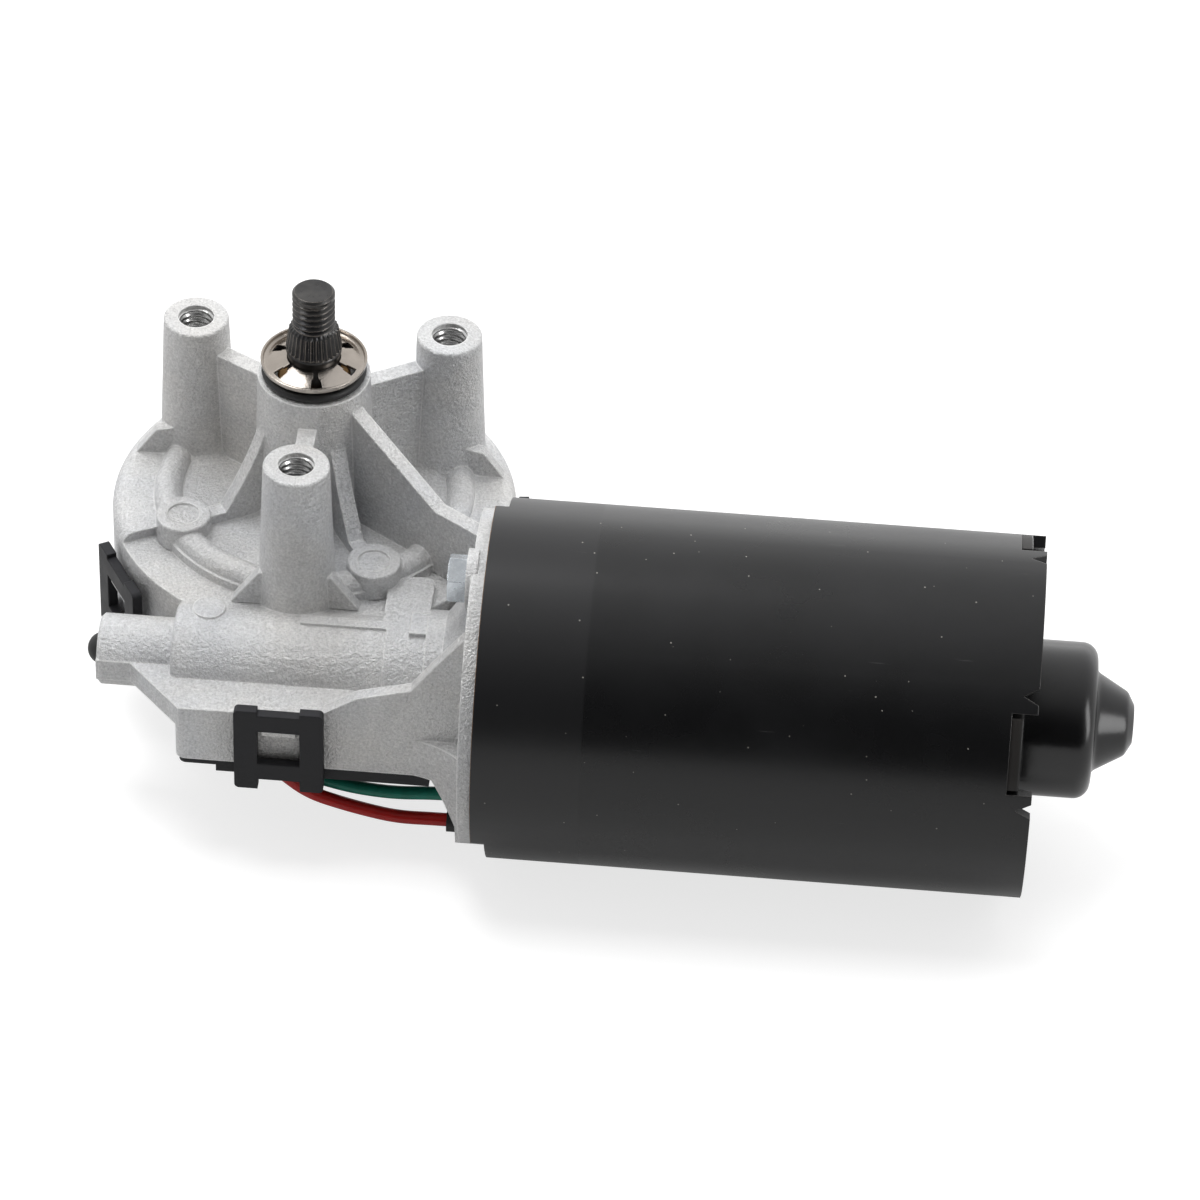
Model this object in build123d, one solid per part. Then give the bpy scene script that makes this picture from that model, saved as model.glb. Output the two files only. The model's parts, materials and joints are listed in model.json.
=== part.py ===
from build123d import *
import math
import os

os.makedirs("parts", exist_ok=True)

# Windscreen wiper gear motor.  Millimetres.
# Origin: on the output shaft axis, in the plane of the three mounting boss tops.
# +Z runs out along the output shaft, +X along the armature from the gear case to the motor.

# ---------------------------------------------------------------- gear pair
MODULE = 1.25
WHEEL_TEETH = 52
WORM_PITCH_R = 4.5
WORM_TIP_R = 5.6
WORM_ROOT_R = 3.0
WORM_HALF_LEN = 14.5
PRESSURE_ANGLE = 20.0
THREAD_THINNING = 0.13        # taken off each worm flank at the pitch line
TOOTH_THINNING = 0.17         # taken off each wheel flank at the pitch line
WHEEL_TIP_ADD = 1.1
WHEEL_ROOT_DED = 1.55
WHEEL_FACE = 9.0
WHEEL_PITCH_R = MODULE * WHEEL_TEETH / 2
WORM_LEAD = math.pi * MODULE
CENTRE_DISTANCE = WHEEL_PITCH_R + WORM_PITCH_R
LEAD_ANGLE = math.degrees(math.atan2(WORM_LEAD, 2 * math.pi * WORM_PITCH_R))

# ---------------------------------------------------------------- main levels and axes
AXIS_DEPTH = 39.4             # worm axis below the boss tops
DECK_DEPTH = 29.0             # top of the gear case below the boss tops
SEAT_DEPTH = 49.2             # cover joint below the boss tops
WORM_Y = -CENTRE_DISTANCE
WORM_Z = -AXIS_DEPTH
DECK_Z = -DECK_DEPTH
SEAT_Z = -SEAT_DEPTH

# ---------------------------------------------------------------- gear case casting
CASE_WALL = 3.2
WHEEL_CLEARANCE_R = 1.2
CASE_R = WHEEL_PITCH_R + WHEEL_TIP_ADD + WHEEL_CLEARANCE_R + CASE_WALL
CASE_EDGE_FILLET = 2.6
DECK_T = 3.6
TOWER_TOP_R = 10.5
TOWER_BASE_R = 11.4
TOWER_TOP_DROP = 0.3          # tower top below the boss tops
BOSS_CIRCLE_R = 27.5
BOSS_COUNT = 3
BOSS_TOP_R = 6.1
BOSS_BASE_R = 7.3
ROOT_FILLET = 2.0             # concave fillet at the foot of the bosses and the tower
BOSS_FIRST_ANGLE = 30.0
BOSS_THREAD_MINOR_R = 3.35    # M8 tapped hole
BOSS_HOLE_DEPTH = 20.0
SPOKE_T = 3.4
PAD_WEB_T = 3.0
SPOKE_TOP_DROP = 5.5
RING_RIDGE_R = 2.65
PAD_R = 5.1
PAD_HEIGHT = 3.5
PAD_RECESS_R = 3.0
PAD_RECESS_DEPTH = 0.4
PAD_ANGLES = (210.0, 301.0)
BRACE_ANGLE = -34.5
BRACE_T = 3.0
BRACE_TOP_DROP = 3.8          # brace edge at the tower, below the boss tops
BRACE_SLOPE = 0.614
BRACE_FLAT_R = CASE_R - 7.2
GUSSET_T = 2.4
GUSSET_Y = 8.0
GUSSET_REACH = CASE_R - 2.4
FRONT_GUSSET_REACH = 11.8
GUSSET_RISE = 5.5
FRONT_DECK_DROP = 2.0         # the deck outside the ring ridge steps down here at the front
FRONT_DECK_STARTS = (206.0, 244.0)
SHELF_DEPTH = 37.0            # shelf beside the worm tube, below the boss tops
SHELF_T = 4.5
APRON_Y = WORM_Y - 17.8
APRON_X0 = -19.5
APRON_WALL = 3.0
APRON_CORNER_R = 2.0
SHELF_CHAMFER_X = 10.4
SHELF_CHAMFER_Y = 11.4
TUBE_SMALL_R = 6.6
TUBE_R = 9.8
TUBE_STEP1_R = 10.5
TUBE_STEP2_R = 11.6
TUBE_END_X = -35.5
TUBE_SHOULDER_X = -21.5
FLARE_R = 18.5
TUBE_BAR_X0 = 1.8
TUBE_BAR_W = 2.3
SMALL_PAD_X = -15.4
SMALL_PAD_R = 3.0
PLATEAU_X0 = 16.8
PLATEAU_BACK = 14.6           # back edge of the plateau, behind the worm axis
PLATEAU_RISE = 0.5
WORM_CHAMBER_R = 6.6
BUSH_SEAT_X = -18.5           # the narrow bore ends and the worm chamber starts

# ---------------------------------------------------------------- motor flange
FLANGE_X = CASE_R - 4.3
FLANGE_T = 5.6
SPIGOT_R = 31.0
FLANGE_BOLT_R = 26.2
FLANGE_BOLT_TILT = 7.0        # degrees from vertical, towards the front
BOLT_SHANK_R = 2.5
BOLT_HOLE_CLEARANCE = 0.25
BOLT_HEAD_AF = 8.0
BOLT_HEAD_T = 3.4
BOLT_PAD_R = 5.6
BOLT_PAD_T = 1.0
MOTOR_FACE_X = FLANGE_X + FLANGE_T
APRON_X1 = FLANGE_X - 5.7
FLARE_X = FLANGE_X - 5.2
TUBE_STEP2_X = FLANGE_X - 8.5
TUBE_STEP1_X = FLANGE_X - 16.0
TUBE_BLOCK_X = FLANGE_X - 11.7
TUBE_BLOCK_W = 3.4

# ---------------------------------------------------------------- motor can and end cap
CAN_R = 33.3
CAN_WALL = 2.2
CAN_X0 = FLANGE_X + 2.6
CAN_LENGTH = 100.8
CAN_NOTCH_DEPTH = 2.5
CAN_TONGUE_START = -25.0
CAN_TONGUE_END = 111.0
CRIMP_COUNT = 4
CRIMP_FIRST_ANGLE = 29.0
CRIMP_SLOT_HALF = 13.0
CRIMP_SLOT_DEPTH = 4.6
CRIMP_V_CENTRE = 18.5
CRIMP_V_HALF = 2.6
CRIMP_V_DEPTH = 2.8
CAP_T = 2.1
CAP_EAR_HALF = 11.5
HUB_R = 14.4
HUB_LENGTH = 13.6
HUB_WALL = 2.0
HUB_ROUND = 3.0
NOSE_LENGTH = 7.2
NOSE_TAIL = 1.9
NOSE_ROOT_R = 9.3
NOSE_CONE_LENGTH = 5.9
NOSE_CONE_R = 5.9
NOSE_FACE_R = 3.6
NOSE_ROUND = 1.5
END_CAP_BUSH_R = 7.0
END_CAP_BUSH_L = 6.0
FELT_T = 2.0
RETAINER_T = 0.8
CAN_X1 = CAN_X0 + CAN_LENGTH
CAN_INNER_R = CAN_R - CAN_WALL
CAP_X0 = CAN_X1 - CRIMP_SLOT_DEPTH
HUB_X1 = CAP_X0 + CAP_T + HUB_LENGTH

# ---------------------------------------------------------------- armature
SHAFT_R = 4.0
JOURNAL_R = 3.0
JOURNAL_END_X = -29.0
BEARING_R = 11.0
BEARING_W = 7.0
BALL_R = 1.7
BALL_COUNT = 8
BALL_PITCH_R = 7.5
BALL_CLEARANCE = 0.05
BEARING_LAND = 1.0
CORE_X0 = MOTOR_FACE_X + 24.7
CORE_LENGTH = 52.0
CORE_R = 23.6
CORE_SLOTS = 12
CORE_SLOT_R = 3.0
CORE_SLOT_CIRCLE_R = 18.0
CORE_SLOT_MOUTH = 1.8
WINDING_R = 21.5
WINDING_OVERHANG = 6.0
COIL_CLEARANCE = 0.15
COMM_X0 = MOTOR_FACE_X + 7.5
COMM_LENGTH = 10.5
COMM_R = 11.0
COMM_HUB_R = 8.4
COMM_SLIT_W = 0.6
COMM_SLIT_DEPTH = 0.9
COMM_TANG_H = 1.6
COMM_TANG_L = 2.0

# ---------------------------------------------------------------- field and brush gear
AIR_GAP = 0.8
MAGNET_HALF_ANGLE = 62.0
MAGNET_OVERHANG = 4.0
MAGNET_SPRING_T = 1.8
PLATE_T = 2.0
BRUSH_PLATE_T = 3.0
BRUSH_PLATE_BORE_R = 14.5
BRUSH_W = 6.0
BRUSH_L = 9.0
BRUSH_DEPTH = 7.0
BRUSH_ANGLES = (0.0, 120.0, 180.0)
BRUSH_WEAR_GAP = 0.05
BOX_WALL = 0.6
BOX_FIT = 0.1
BRUSH_SPRING_WIRE_R = 0.35
BRUSH_SPRING_R = 2.0
BRUSH_SPRING_TURNS = 4

# ---------------------------------------------------------------- output shaft and its bearings
OUT_R = 5.0
OUT_TOP = 18.7
THREAD_R = 3.95
THREAD_BOTTOM = 10.7
KNURL_BOTTOM = 5.9
KNURL_TOP_R = 4.6
KNURL_BOTTOM_R = 5.25
KNURL_COUNT = 30
KNURL_DEPTH = 0.38
SNAP_GROOVE_W = 0.9
SNAP_GROOVE_R = 4.5
TIP_CHAMFER = 0.5
OUT_BUSH_R = 6.8
OUT_BUSH_UPPER_L = 11.0
OUT_BUSH_LOWER_L = 12.0
BUSH_FIT = 0.03
WASHER_R = 9.9
WASHER_T = 0.45
WASHER_LIP = 1.35
WASHER_LIFT = 1.95
WASHER_DISH_R = 8.6
WASHER_NECK_Z = 3.6
WASHER_SLOTS = 6
WASHER_SLOT_W = 1.2
WASHER_SLOT_R = 8.2
WASHER_SLOT_ANGLE = -80.0
ORING_R = 8.9
ORING_WIRE_R = 0.85
SHIM_T = 0.8
RUN_GAP = 0.3
LOWER_BUSH_Z = WORM_Z + WHEEL_FACE / 2 + SHIM_T + RUN_GAP

# ---------------------------------------------------------------- worm wheel
WHEEL_HUB_R = 9.5
WHEEL_WEB_T = 3.6
WHEEL_RIM_R = 28.0
WHEEL_POCKETS = 6
WHEEL_POCKET_R = 4.6
DRIVE_FLAT = 0.7
CONTACT_DISC_T = 0.8
CONTACT_DISC_R = 24.0
CONTACT_DISC_BORE_R = 12.0
CONTACT_NOTCH_ANGLE = 24.0

# ---------------------------------------------------------------- worm end parts
END_BUSH_R = 4.6
END_BUSH_L = 9.0
THRUST_PAD_T = 2.0
SCREW_HEX_AF = 3.0
PLUG_R = 3.0
PLUG_BULGE = 2.4

# ---------------------------------------------------------------- bottom cover
COVER_RIM_T = 1.5
COVER_RIM_INSET = 0.6
FRONT_STEP_X0 = -12.0         # the front of the cover gets deeper from here on
COVER_PAN_INSET = 2.6
COVER_PAN_DEPTH = 3.0
COVER_WALL = 1.8
SEAL_W = 1.3
SEAL_T = 1.0
SEAL_INSET = 0.9
CLIP_W = 16.4
CLIP_T = 1.9
CLIP_TOP_RISE = 14.8          # clip top above the cover joint
CLIP_FOOT_DROP = 3.9          # clip foot below the cover joint
CLIP_LEG_W = 4.3
CLIP_WINDOW_RISE = 10.1       # window top above the cover joint
CLIP_SILL = 2.2               # window sill above the cover joint
CLIP_TOP_DIP = 0.9
CLIP_GAP = 0.6
SIDE_CLIPS = ((5.5, 12.6), (120.0, 17.1), (210.0, 17.1))    # angle and width of each
CATCH_SIDE_GAP = 0.8
CATCH_H = 2.8
CATCH_STAND = 2.1
CATCH_GAP = 0.3
SOCKET_X = -10.0
SOCKET_Y = 12.0
SOCKET_W = 24.0
SOCKET_D = 15.0
SOCKET_H = 14.0
SOCKET_WALL = 1.6
SOCKET_FLOOR = 1.2
BLADE_COUNT = 4
BLADE_PITCH = 5.0
BLADE_W = 2.8
BLADE_T = 0.8
BLADE_H = 9.0
CONTACT_SPRING_T = 0.3
CONTACT_SPRING_W = 3.0
CONTACT_SPRING_RADII = (14.5, 18.5, 22.5)

# ---------------------------------------------------------------- motor leads
LEAD_R = 1.25
GROMMET_R = 2.2
GROMMET_STAND = 3.2
GROMMET_X0 = FLANGE_X - GROMMET_STAND
HOOD_X0 = -8.4
HOOD_X1 = -2.2
HOOD_DROP = 3.1
LEAD_EXIT_Z = -53.9
LEAD_END_X = MOTOR_FACE_X + PLATE_T + BRUSH_PLATE_T
RED_ROUTE = (
    (HOOD_X0 + 2, -50.4, LEAD_EXIT_Z),
    (-1.4, -50.4, LEAD_EXIT_Z),
    (4.6, -50.5, -59.3),
    (12.9, -50.5, -62.0),
    (21.0, -50.5, -63.8),
    (28.5, -50.5, -63.6),
    (LEAD_END_X, -50.5, -63.6),
)
GREEN_ROUTE = (
    (HOOD_X0 + 2, -46.8, LEAD_EXIT_Z),
    (-1.4, -46.8, LEAD_EXIT_Z),
    (4.4, -47.4, -57.8),
    (12.8, -48.6, -58.9),
    (20.5, -49.0, -59.2),
    (28.0, -49.0, -58.5),
    (LEAD_END_X, -49.0, -58.5),
)


# ---------------------------------------------------------------- small helpers
def rod_z(radius, z0, z1, x=0.0, y=0.0):
    """Upright cylinder between two levels."""
    return Pos(x, y, (z0 + z1) / 2) * Cylinder(radius, z1 - z0)


def rod_x(radius, x0, x1, y=WORM_Y, z=WORM_Z):
    """Cylinder along X, on the worm axis unless told otherwise."""
    return Pos((x0 + x1) / 2, y, z) * Rot(0, 90, 0) * Cylinder(radius, x1 - x0)


def block(x0, x1, y0, y1, z0, z1):
    """Box between two corners."""
    return Pos((x0 + x1) / 2, (y0 + y1) / 2, (z0 + z1) / 2) * Box(x1 - x0, y1 - y0, z1 - z0)


def turned_x(points):
    """Solid of revolution about the worm axis from (x, radius) points."""
    profile = make_face(Polyline(*points, close=True))
    return Pos(0, WORM_Y, WORM_Z) * revolve(profile, Axis.X)


def turned_z(points):
    """Solid of revolution about the output axis from (radius, z) points."""
    outline = Plane.XZ * make_face(Polyline(*points, close=True))
    return revolve(outline, Axis.Z)


def upright_plate(points, angle, thickness):
    """Plate in a radial plane of the output axis, from (radius, z) points."""
    face = Plane.XZ * make_face(Polyline(*points, close=True))
    return Rot(0, 0, angle) * extrude(face, thickness / 2, both=True)


def group(solids):
    """Several separate solids as one node."""
    return Compound(children=list(solids))


def biggest(shape):
    """The largest solid of a shape, as a plain solid."""
    return max(shape.solids(), key=lambda solid: solid.volume)


def flange_bolt_spots():
    """The (y, z) places of the two flange bolts."""
    spots = []
    for turn in (FLANGE_BOLT_TILT, FLANGE_BOLT_TILT + 180):
        swing = math.radians(turn)
        spots.append((WORM_Y - FLANGE_BOLT_R * math.sin(swing), WORM_Z + FLANGE_BOLT_R * math.cos(swing)))
    return spots


def boss_spots():
    """The (x, y) places of the mounting bosses."""
    spots = []
    for i in range(BOSS_COUNT):
        angle = math.radians(BOSS_FIRST_ANGLE + i * 360 / BOSS_COUNT)
        spots.append((BOSS_CIRCLE_R * math.cos(angle), BOSS_CIRCLE_R * math.sin(angle)))
    return spots


def seat_outline(inset=0.0):
    """Outline of the cover joint: the round case with the square apron in front."""
    ring = Circle(CASE_R - inset)
    width = APRON_X1 - APRON_X0 - 2 * inset
    reach = -APRON_Y - inset
    apron = Pos((APRON_X0 + APRON_X1) / 2, -reach / 2) * Rectangle(width, reach)
    front_corners = apron.vertices().sort_by(Axis.Y)[:2]
    apron = fillet(front_corners, max(APRON_CORNER_R - inset, 0.4))
    return ring + apron


# ---------------------------------------------------------------- gear case casting
def case_bosses():
    """Three tapered mounting bosses standing on the deck."""
    height = DECK_DEPTH + DECK_T
    bosses = []
    for x, y in boss_spots():
        boss = Pos(x, y, -height / 2) * Cone(BOSS_BASE_R, BOSS_TOP_R, height)
        rim = boss.edges().sort_by(Axis.Z)[-1]
        bosses.append(fillet(rim, 0.5))
    return bosses


def root_flare(foot_r, top_r, x, y):
    """Concave fillet round the foot of a tapered post on the deck."""
    height = DECK_DEPTH + DECK_T
    rise = DECK_Z + ROOT_FILLET
    post_r = top_r + (foot_r - top_r) * -rise / height
    outer = post_r + ROOT_FILLET
    mid = ROOT_FILLET * (1 - math.sqrt(0.5))
    with BuildLine() as line:
        ThreePointArc((outer, DECK_Z), (post_r + mid, DECK_Z + mid), (post_r, rise))
        inner, low = post_r - 1, DECK_Z - 1
        Polyline((post_r, rise), (inner, rise), (inner, low), (outer, low), (outer, DECK_Z))
    return Pos(x, y, 0) * revolve(Plane.XZ * make_face(line.line), Axis.Z)


def root_flares():
    """Foot fillets of the two rear bosses and the tower."""
    flares = [root_flare(TOWER_BASE_R, TOWER_TOP_R, 0, 0)]
    for x, y in boss_spots():
        if y > 0:
            flares.append(root_flare(BOSS_BASE_R, BOSS_TOP_R, x, y))
    return flares


def case_spokes():
    """Straight webs from the tower to each boss."""
    low = DECK_Z - DECK_T / 2
    spokes = []
    for i in range(BOSS_COUNT):
        outline = ((0, low), (BOSS_CIRCLE_R, low), (BOSS_CIRCLE_R, -SPOKE_TOP_DROP), (0, -SPOKE_TOP_DROP))
        spokes.append(upright_plate(outline, BOSS_FIRST_ANGLE + i * 360 / BOSS_COUNT, SPOKE_T))
    return spokes


def pad_webs():
    """Low webs that sweep down from the tower to the two round pads."""
    low = DECK_Z - DECK_T / 2
    knee_r = TOWER_BASE_R + 7.3
    start_z = -SPOKE_TOP_DROP - 4.5
    foot_z = DECK_Z + PAD_HEIGHT - 1.3
    crest = (TOWER_TOP_R, start_z)
    webs = []
    for angle in PAD_ANGLES:
        with BuildLine() as line:
            Polyline((BOSS_CIRCLE_R, foot_z), (BOSS_CIRCLE_R, low), (0, low), (0, start_z), crest)
            ThreePointArc(crest, (knee_r - 3.7, (start_z + foot_z) / 2 - 2.2), (knee_r, foot_z))
            Line((knee_r, foot_z), (BOSS_CIRCLE_R, foot_z))
        face = Plane.XZ * make_face(line.line)
        webs.append(Rot(0, 0, angle) * extrude(face, PAD_WEB_T / 2, both=True))
    return webs


def ring_ridges():
    """Half-round ridges on the boss circle, in stretches between bosses and pads."""
    bead = Plane.XZ * Pos(BOSS_CIRCLE_R, DECK_Z) * Circle(RING_RIDGE_R)
    stretches = ((150.0, 60.0), (210.0, 60.0), (270.0, 30.0), (PAD_ANGLES[1], 24.0), (-10.0, 40.0))
    ridges = []
    for start, sweep_angle in stretches:
        turned = Rot(0, 0, start) * bead
        ridges.append(revolve(turned, Axis.Z, revolution_arc=sweep_angle))
    for end_angle in (PAD_ANGLES[1] + 24.0, -10.0):
        spot = math.radians(end_angle)
        x, y = BOSS_CIRCLE_R * math.cos(spot), BOSS_CIRCLE_R * math.sin(spot)
        ridges.append(Pos(x, y, DECK_Z) * Sphere(RING_RIDGE_R))
    return ridges


def case_pads():
    """Two round ejector pads with shallow recesses."""
    top = DECK_Z + PAD_HEIGHT
    pads = []
    for angle in PAD_ANGLES:
        spot = math.radians(angle)
        x = (BOSS_CIRCLE_R - 0.9) * math.cos(spot)
        y = (BOSS_CIRCLE_R - 0.9) * math.sin(spot)
        pad = rod_z(PAD_R, DECK_Z - DECK_T / 2, top, x, y)
        pad = fillet(pad.edges().sort_by(Axis.Z)[-1], 0.4)
        pads.append(pad - rod_z(PAD_RECESS_R, top - PAD_RECESS_DEPTH, top + 1, x, y))
    return pads


def case_gussets():
    """Slanted gussets from the bosses out to the edge of the deck."""
    top = DECK_Z + GUSSET_RISE
    low = DECK_Z - DECK_T / 2
    boss_x, _ = boss_spots()[0]
    start = boss_x
    crest = boss_x + BOSS_BASE_R
    outer = GUSSET_REACH
    slope = [(start, low), (outer, low), (outer, DECK_Z - 1), (crest, top), (start, top + 2)]
    side = Plane.XZ * make_face(Polyline(*slope, close=True))
    right = Pos(0, GUSSET_Y, 0) * extrude(side, -GUSSET_T)
    left = mirror(right, Plane.YZ)
    front_y = -BOSS_CIRCLE_R - BOSS_BASE_R / 2
    front = Plane.XZ * make_face(
        Polyline((0, low), (FRONT_GUSSET_REACH, low), (FRONT_GUSSET_REACH, DECK_Z - FRONT_DECK_DROP + 0.4),
                 (BOSS_BASE_R - 0.6, top), (0, top), close=True)
    )
    front_right = Pos(0, front_y, 0) * extrude(front, -GUSSET_T)
    front_left = mirror(front_right, Plane.YZ)
    return [right, left, front_right, front_left]


def case_brace():
    """The tall brace that runs from the tower down to the motor flange."""
    low = DECK_Z - DECK_T / 2
    reach = (FLANGE_X + 1.0) / math.cos(math.radians(BRACE_ANGLE))
    flat_z = -BRACE_TOP_DROP - BRACE_SLOPE * (BRACE_FLAT_R - TOWER_TOP_R)
    outline = (
        (0, low),
        (reach, low),
        (reach, flat_z),
        (BRACE_FLAT_R, flat_z),
        (TOWER_TOP_R, -BRACE_TOP_DROP),
        (0, -BRACE_TOP_DROP),
    )
    return upright_plate(outline, BRACE_ANGLE, BRACE_T)


def flange_skirt():
    """The (x, z) points where the casting under the worm tube widens down to the flange rim."""
    return (
        (FLANGE_X + 1, WORM_Z - 24.4),
        (FLANGE_X - 0.8, WORM_Z - 22.8),
        (FLANGE_X - 1.1, WORM_Z - 18.1),
        (FLANGE_X - 3.2, WORM_Z - 14.0),
        (APRON_X1, SEAT_Z),
    )


def front_web():
    """Upright web behind the apron face that spreads up and down to the motor flange."""
    inner = APRON_Y + APRON_WALL - 0.5
    shelf = -SHELF_DEPTH
    start_x = FLANGE_X - 26.2
    outline = (
        (start_x, shelf - 3.0),
        (start_x + 0.3, shelf + 1.2),
        (FLANGE_X - 19.5, shelf + 5.5),
        (FLANGE_X - 9.8, shelf + 8.2),
        (FLANGE_X - 5.3, shelf + 14.7),
        (FLANGE_X + 1, shelf + 23.0),
        *flange_skirt(),
        (start_x, SEAT_Z),
    )
    plate = Plane.XZ * make_face(Polyline(*outline, close=True))
    plate = Pos(0, inner, 0) * extrude(plate, inner - APRON_Y)
    inner_flange = rod_x(SPIGOT_R, FLANGE_X - 20, FLANGE_X + 1)
    behind = block(0, FLANGE_X - 1.5, APRON_Y, inner, WORM_Z - SPIGOT_R, 0)
    return plate & (inner_flange + behind)


def apron_swell():
    """Lower part of the apron that curves forward to the flange."""
    top_z = -SHELF_DEPTH - 3.5
    start_x = FLANGE_X - 9.3
    end_x = FLANGE_X + 1
    back_x = start_x - 4.4
    with BuildLine() as line:
        ThreePointArc((start_x, APRON_Y), (FLANGE_X - 3.5, APRON_Y - 2.2), (end_x, APRON_Y - 6.2))
        Polyline((end_x, APRON_Y - 6.2), (end_x, APRON_Y + 1), (start_x, APRON_Y + 1), (start_x, APRON_Y))
    swell = Pos(0, 0, top_z) * extrude(make_face(line.line), WORM_Z - SPIGOT_R - top_z)
    outline = ((back_x, top_z), (end_x, top_z), *flange_skirt(), (back_x, SEAT_Z))
    lean = Plane.XZ * make_face(Polyline(*outline, close=True))
    return swell & extrude(lean, -2 * APRON_Y) & rod_x(SPIGOT_R, 0, end_x)


def worm_tube():
    """Stepped tube over the worm, the narrow end tube and the flare into the flange."""
    big = rod_x(TUBE_R, TUBE_SHOULDER_X, FLANGE_X)
    end_edge = big.edges().filter_by(GeomType.CIRCLE).sort_by(Axis.X)[0]
    big = fillet(end_edge, 1.2)
    small = rod_x(TUBE_SMALL_R, TUBE_END_X, TUBE_SHOULDER_X + 2)
    small = chamfer(small.edges().filter_by(GeomType.CIRCLE).sort_by(Axis.X)[0], 0.6)
    step1 = rod_x(TUBE_STEP1_R, TUBE_STEP1_X, FLANGE_X)
    step2 = rod_x(TUBE_STEP2_R, TUBE_STEP2_X, FLANGE_X)
    flare = turned_x(((FLARE_X, 0), (FLARE_X, TUBE_STEP2_R), (FLANGE_X, FLARE_R), (FLANGE_X, 0)))
    return [big, small, step1, step2, flare]


def shelf_plate():
    """Shelf beside the tube, with the chamfered left corner and the block under the tube end."""
    left = TUBE_END_X
    corner_x = APRON_X0 + 0.8
    outline = Polyline(
        (left, WORM_Y),
        (left, APRON_Y + SHELF_CHAMFER_Y),
        (corner_x - SHELF_CHAMFER_X, APRON_Y + SHELF_CHAMFER_Y),
        (corner_x, APRON_Y),
        (APRON_X1, APRON_Y),
        (APRON_X1, WORM_Y),
        close=True,
    )
    return Pos(0, 0, -SHELF_DEPTH - SHELF_T) * extrude(make_face(outline), SHELF_T)


def tube_top_details():
    """Thin bar, small block and plateau on top of the tube, and the plain pad beside them."""
    tube_top = WORM_Z + TUBE_R
    front = WORM_Y - 2.4
    bar_y = WORM_Y - TUBE_BAR_W / 2 + 0.4
    bar = block(TUBE_BAR_X0, TUBE_STEP1_X, bar_y, bar_y + TUBE_BAR_W, tube_top - 2, tube_top + 0.6)
    cube = block(TUBE_BLOCK_X, TUBE_BLOCK_X + TUBE_BLOCK_W, front, WORM_Y + 3.6, tube_top - 2, tube_top + 1.4)
    plateau = block(PLATEAU_X0, TUBE_STEP2_X, WORM_Y + 1, WORM_Y + PLATEAU_BACK, tube_top - 3,
                    tube_top + PLATEAU_RISE)
    plateau = fillet(plateau.edges().filter_by(Axis.Z).sort_by(Axis.Y)[2:], 1.5)
    pad = rod_z(SMALL_PAD_R, DECK_Z - DECK_T, DECK_Z - 0.2, SMALL_PAD_X, WORM_Y + 2)
    return [bar, cube, plateau, pad]


def motor_flange():
    """Round flange and spigot that carries the motor can."""
    flange = rod_x(SPIGOT_R, FLANGE_X, MOTOR_FACE_X)
    pads = []
    for y, z in flange_bolt_spots():
        pads.append(rod_x(BOLT_PAD_R, FLANGE_X - BOLT_PAD_T, FLANGE_X + 1, y, z))
    return [flange] + pads


def catch_nub(distance, angle, width):
    """Wedge on the wall that a cover clip hooks over."""
    top = SEAT_Z + CLIP_WINDOW_RISE - CATCH_GAP
    root = distance - 3.0
    wedge = Plane.XZ * make_face(
        Polyline((root, top), (distance + CATCH_STAND, top), (distance + CATCH_STAND, top - 0.9),
                 (distance, top - CATCH_H), (root, top - CATCH_H), close=True)
    )
    return Rot(0, 0, angle) * extrude(wedge, width / 2 - CLIP_LEG_W - CATCH_SIDE_GAP, both=True)


def deck_steps():
    """Low front part of the deck, outside the ring ridge."""
    ring = rod_z(CASE_R + 3, DECK_Z - FRONT_DECK_DROP, DECK_Z + 1)
    ring -= rod_z(BOSS_CIRCLE_R + RING_RIDGE_R + 0.4, DECK_Z - FRONT_DECK_DROP - 1, DECK_Z + 2)
    quarter = block(0, 2 * CASE_R, 0, 2 * CASE_R, DECK_Z - FRONT_DECK_DROP - 1, DECK_Z + 2)
    left, right = (Rot(0, 0, start) * quarter for start in FRONT_DECK_STARTS)
    return ring & (left + right)


def case_cavity():
    """Everything hollow in the casting: wheel room, worm bores, shaft bore and pockets."""
    wheel_room_r = WHEEL_PITCH_R + WHEEL_TIP_ADD + WHEEL_CLEARANCE_R
    cuts = [
        rod_z(wheel_room_r, SEAT_Z - 1, DECK_Z - DECK_T),
        rod_z(OUT_BUSH_R, DECK_Z - DECK_T - 1, 1),
        rod_x(WORM_CHAMBER_R, BUSH_SEAT_X, MOTOR_FACE_X + 1),
        rod_x(END_BUSH_R, TUBE_END_X - 1, BUSH_SEAT_X + 1),
        rod_x(BEARING_R, MOTOR_FACE_X - BEARING_W, MOTOR_FACE_X + 1),
        block(APRON_X0 + APRON_WALL, APRON_X1 - APRON_WALL - 5, APRON_Y + APRON_WALL, WORM_Y - TUBE_R + 1,
              SEAT_Z - 1, -SHELF_DEPTH - 3.2),
    ]
    for x, y in boss_spots():
        cuts.append(rod_z(BOSS_THREAD_MINOR_R, -BOSS_HOLE_DEPTH, 1, x, y))
    for y, z in flange_bolt_spots():
        cuts.append(rod_x(BOLT_SHANK_R + BOLT_HOLE_CLEARANCE, FLANGE_X - 3, MOTOR_FACE_X + 1, y, z))
    for route in (RED_ROUTE, GREEN_ROUTE):
        _, y, z = route[-1]
        cuts.append(rod_x(GROMMET_R, FLANGE_X - 3, MOTOR_FACE_X + 1, y, z))
    cuts.append(block(APRON_X0, APRON_X1 + 1.5, WORM_Y - TUBE_STEP2_R - 1, 0, SEAT_Z - 10, SEAT_Z))
    groove = seat_outline(SEAL_INSET) - seat_outline(SEAL_INSET + SEAL_W)
    cuts.append(Pos(0, 0, SEAT_Z - 1) * extrude(groove, 1 + SEAL_T))
    return cuts


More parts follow.
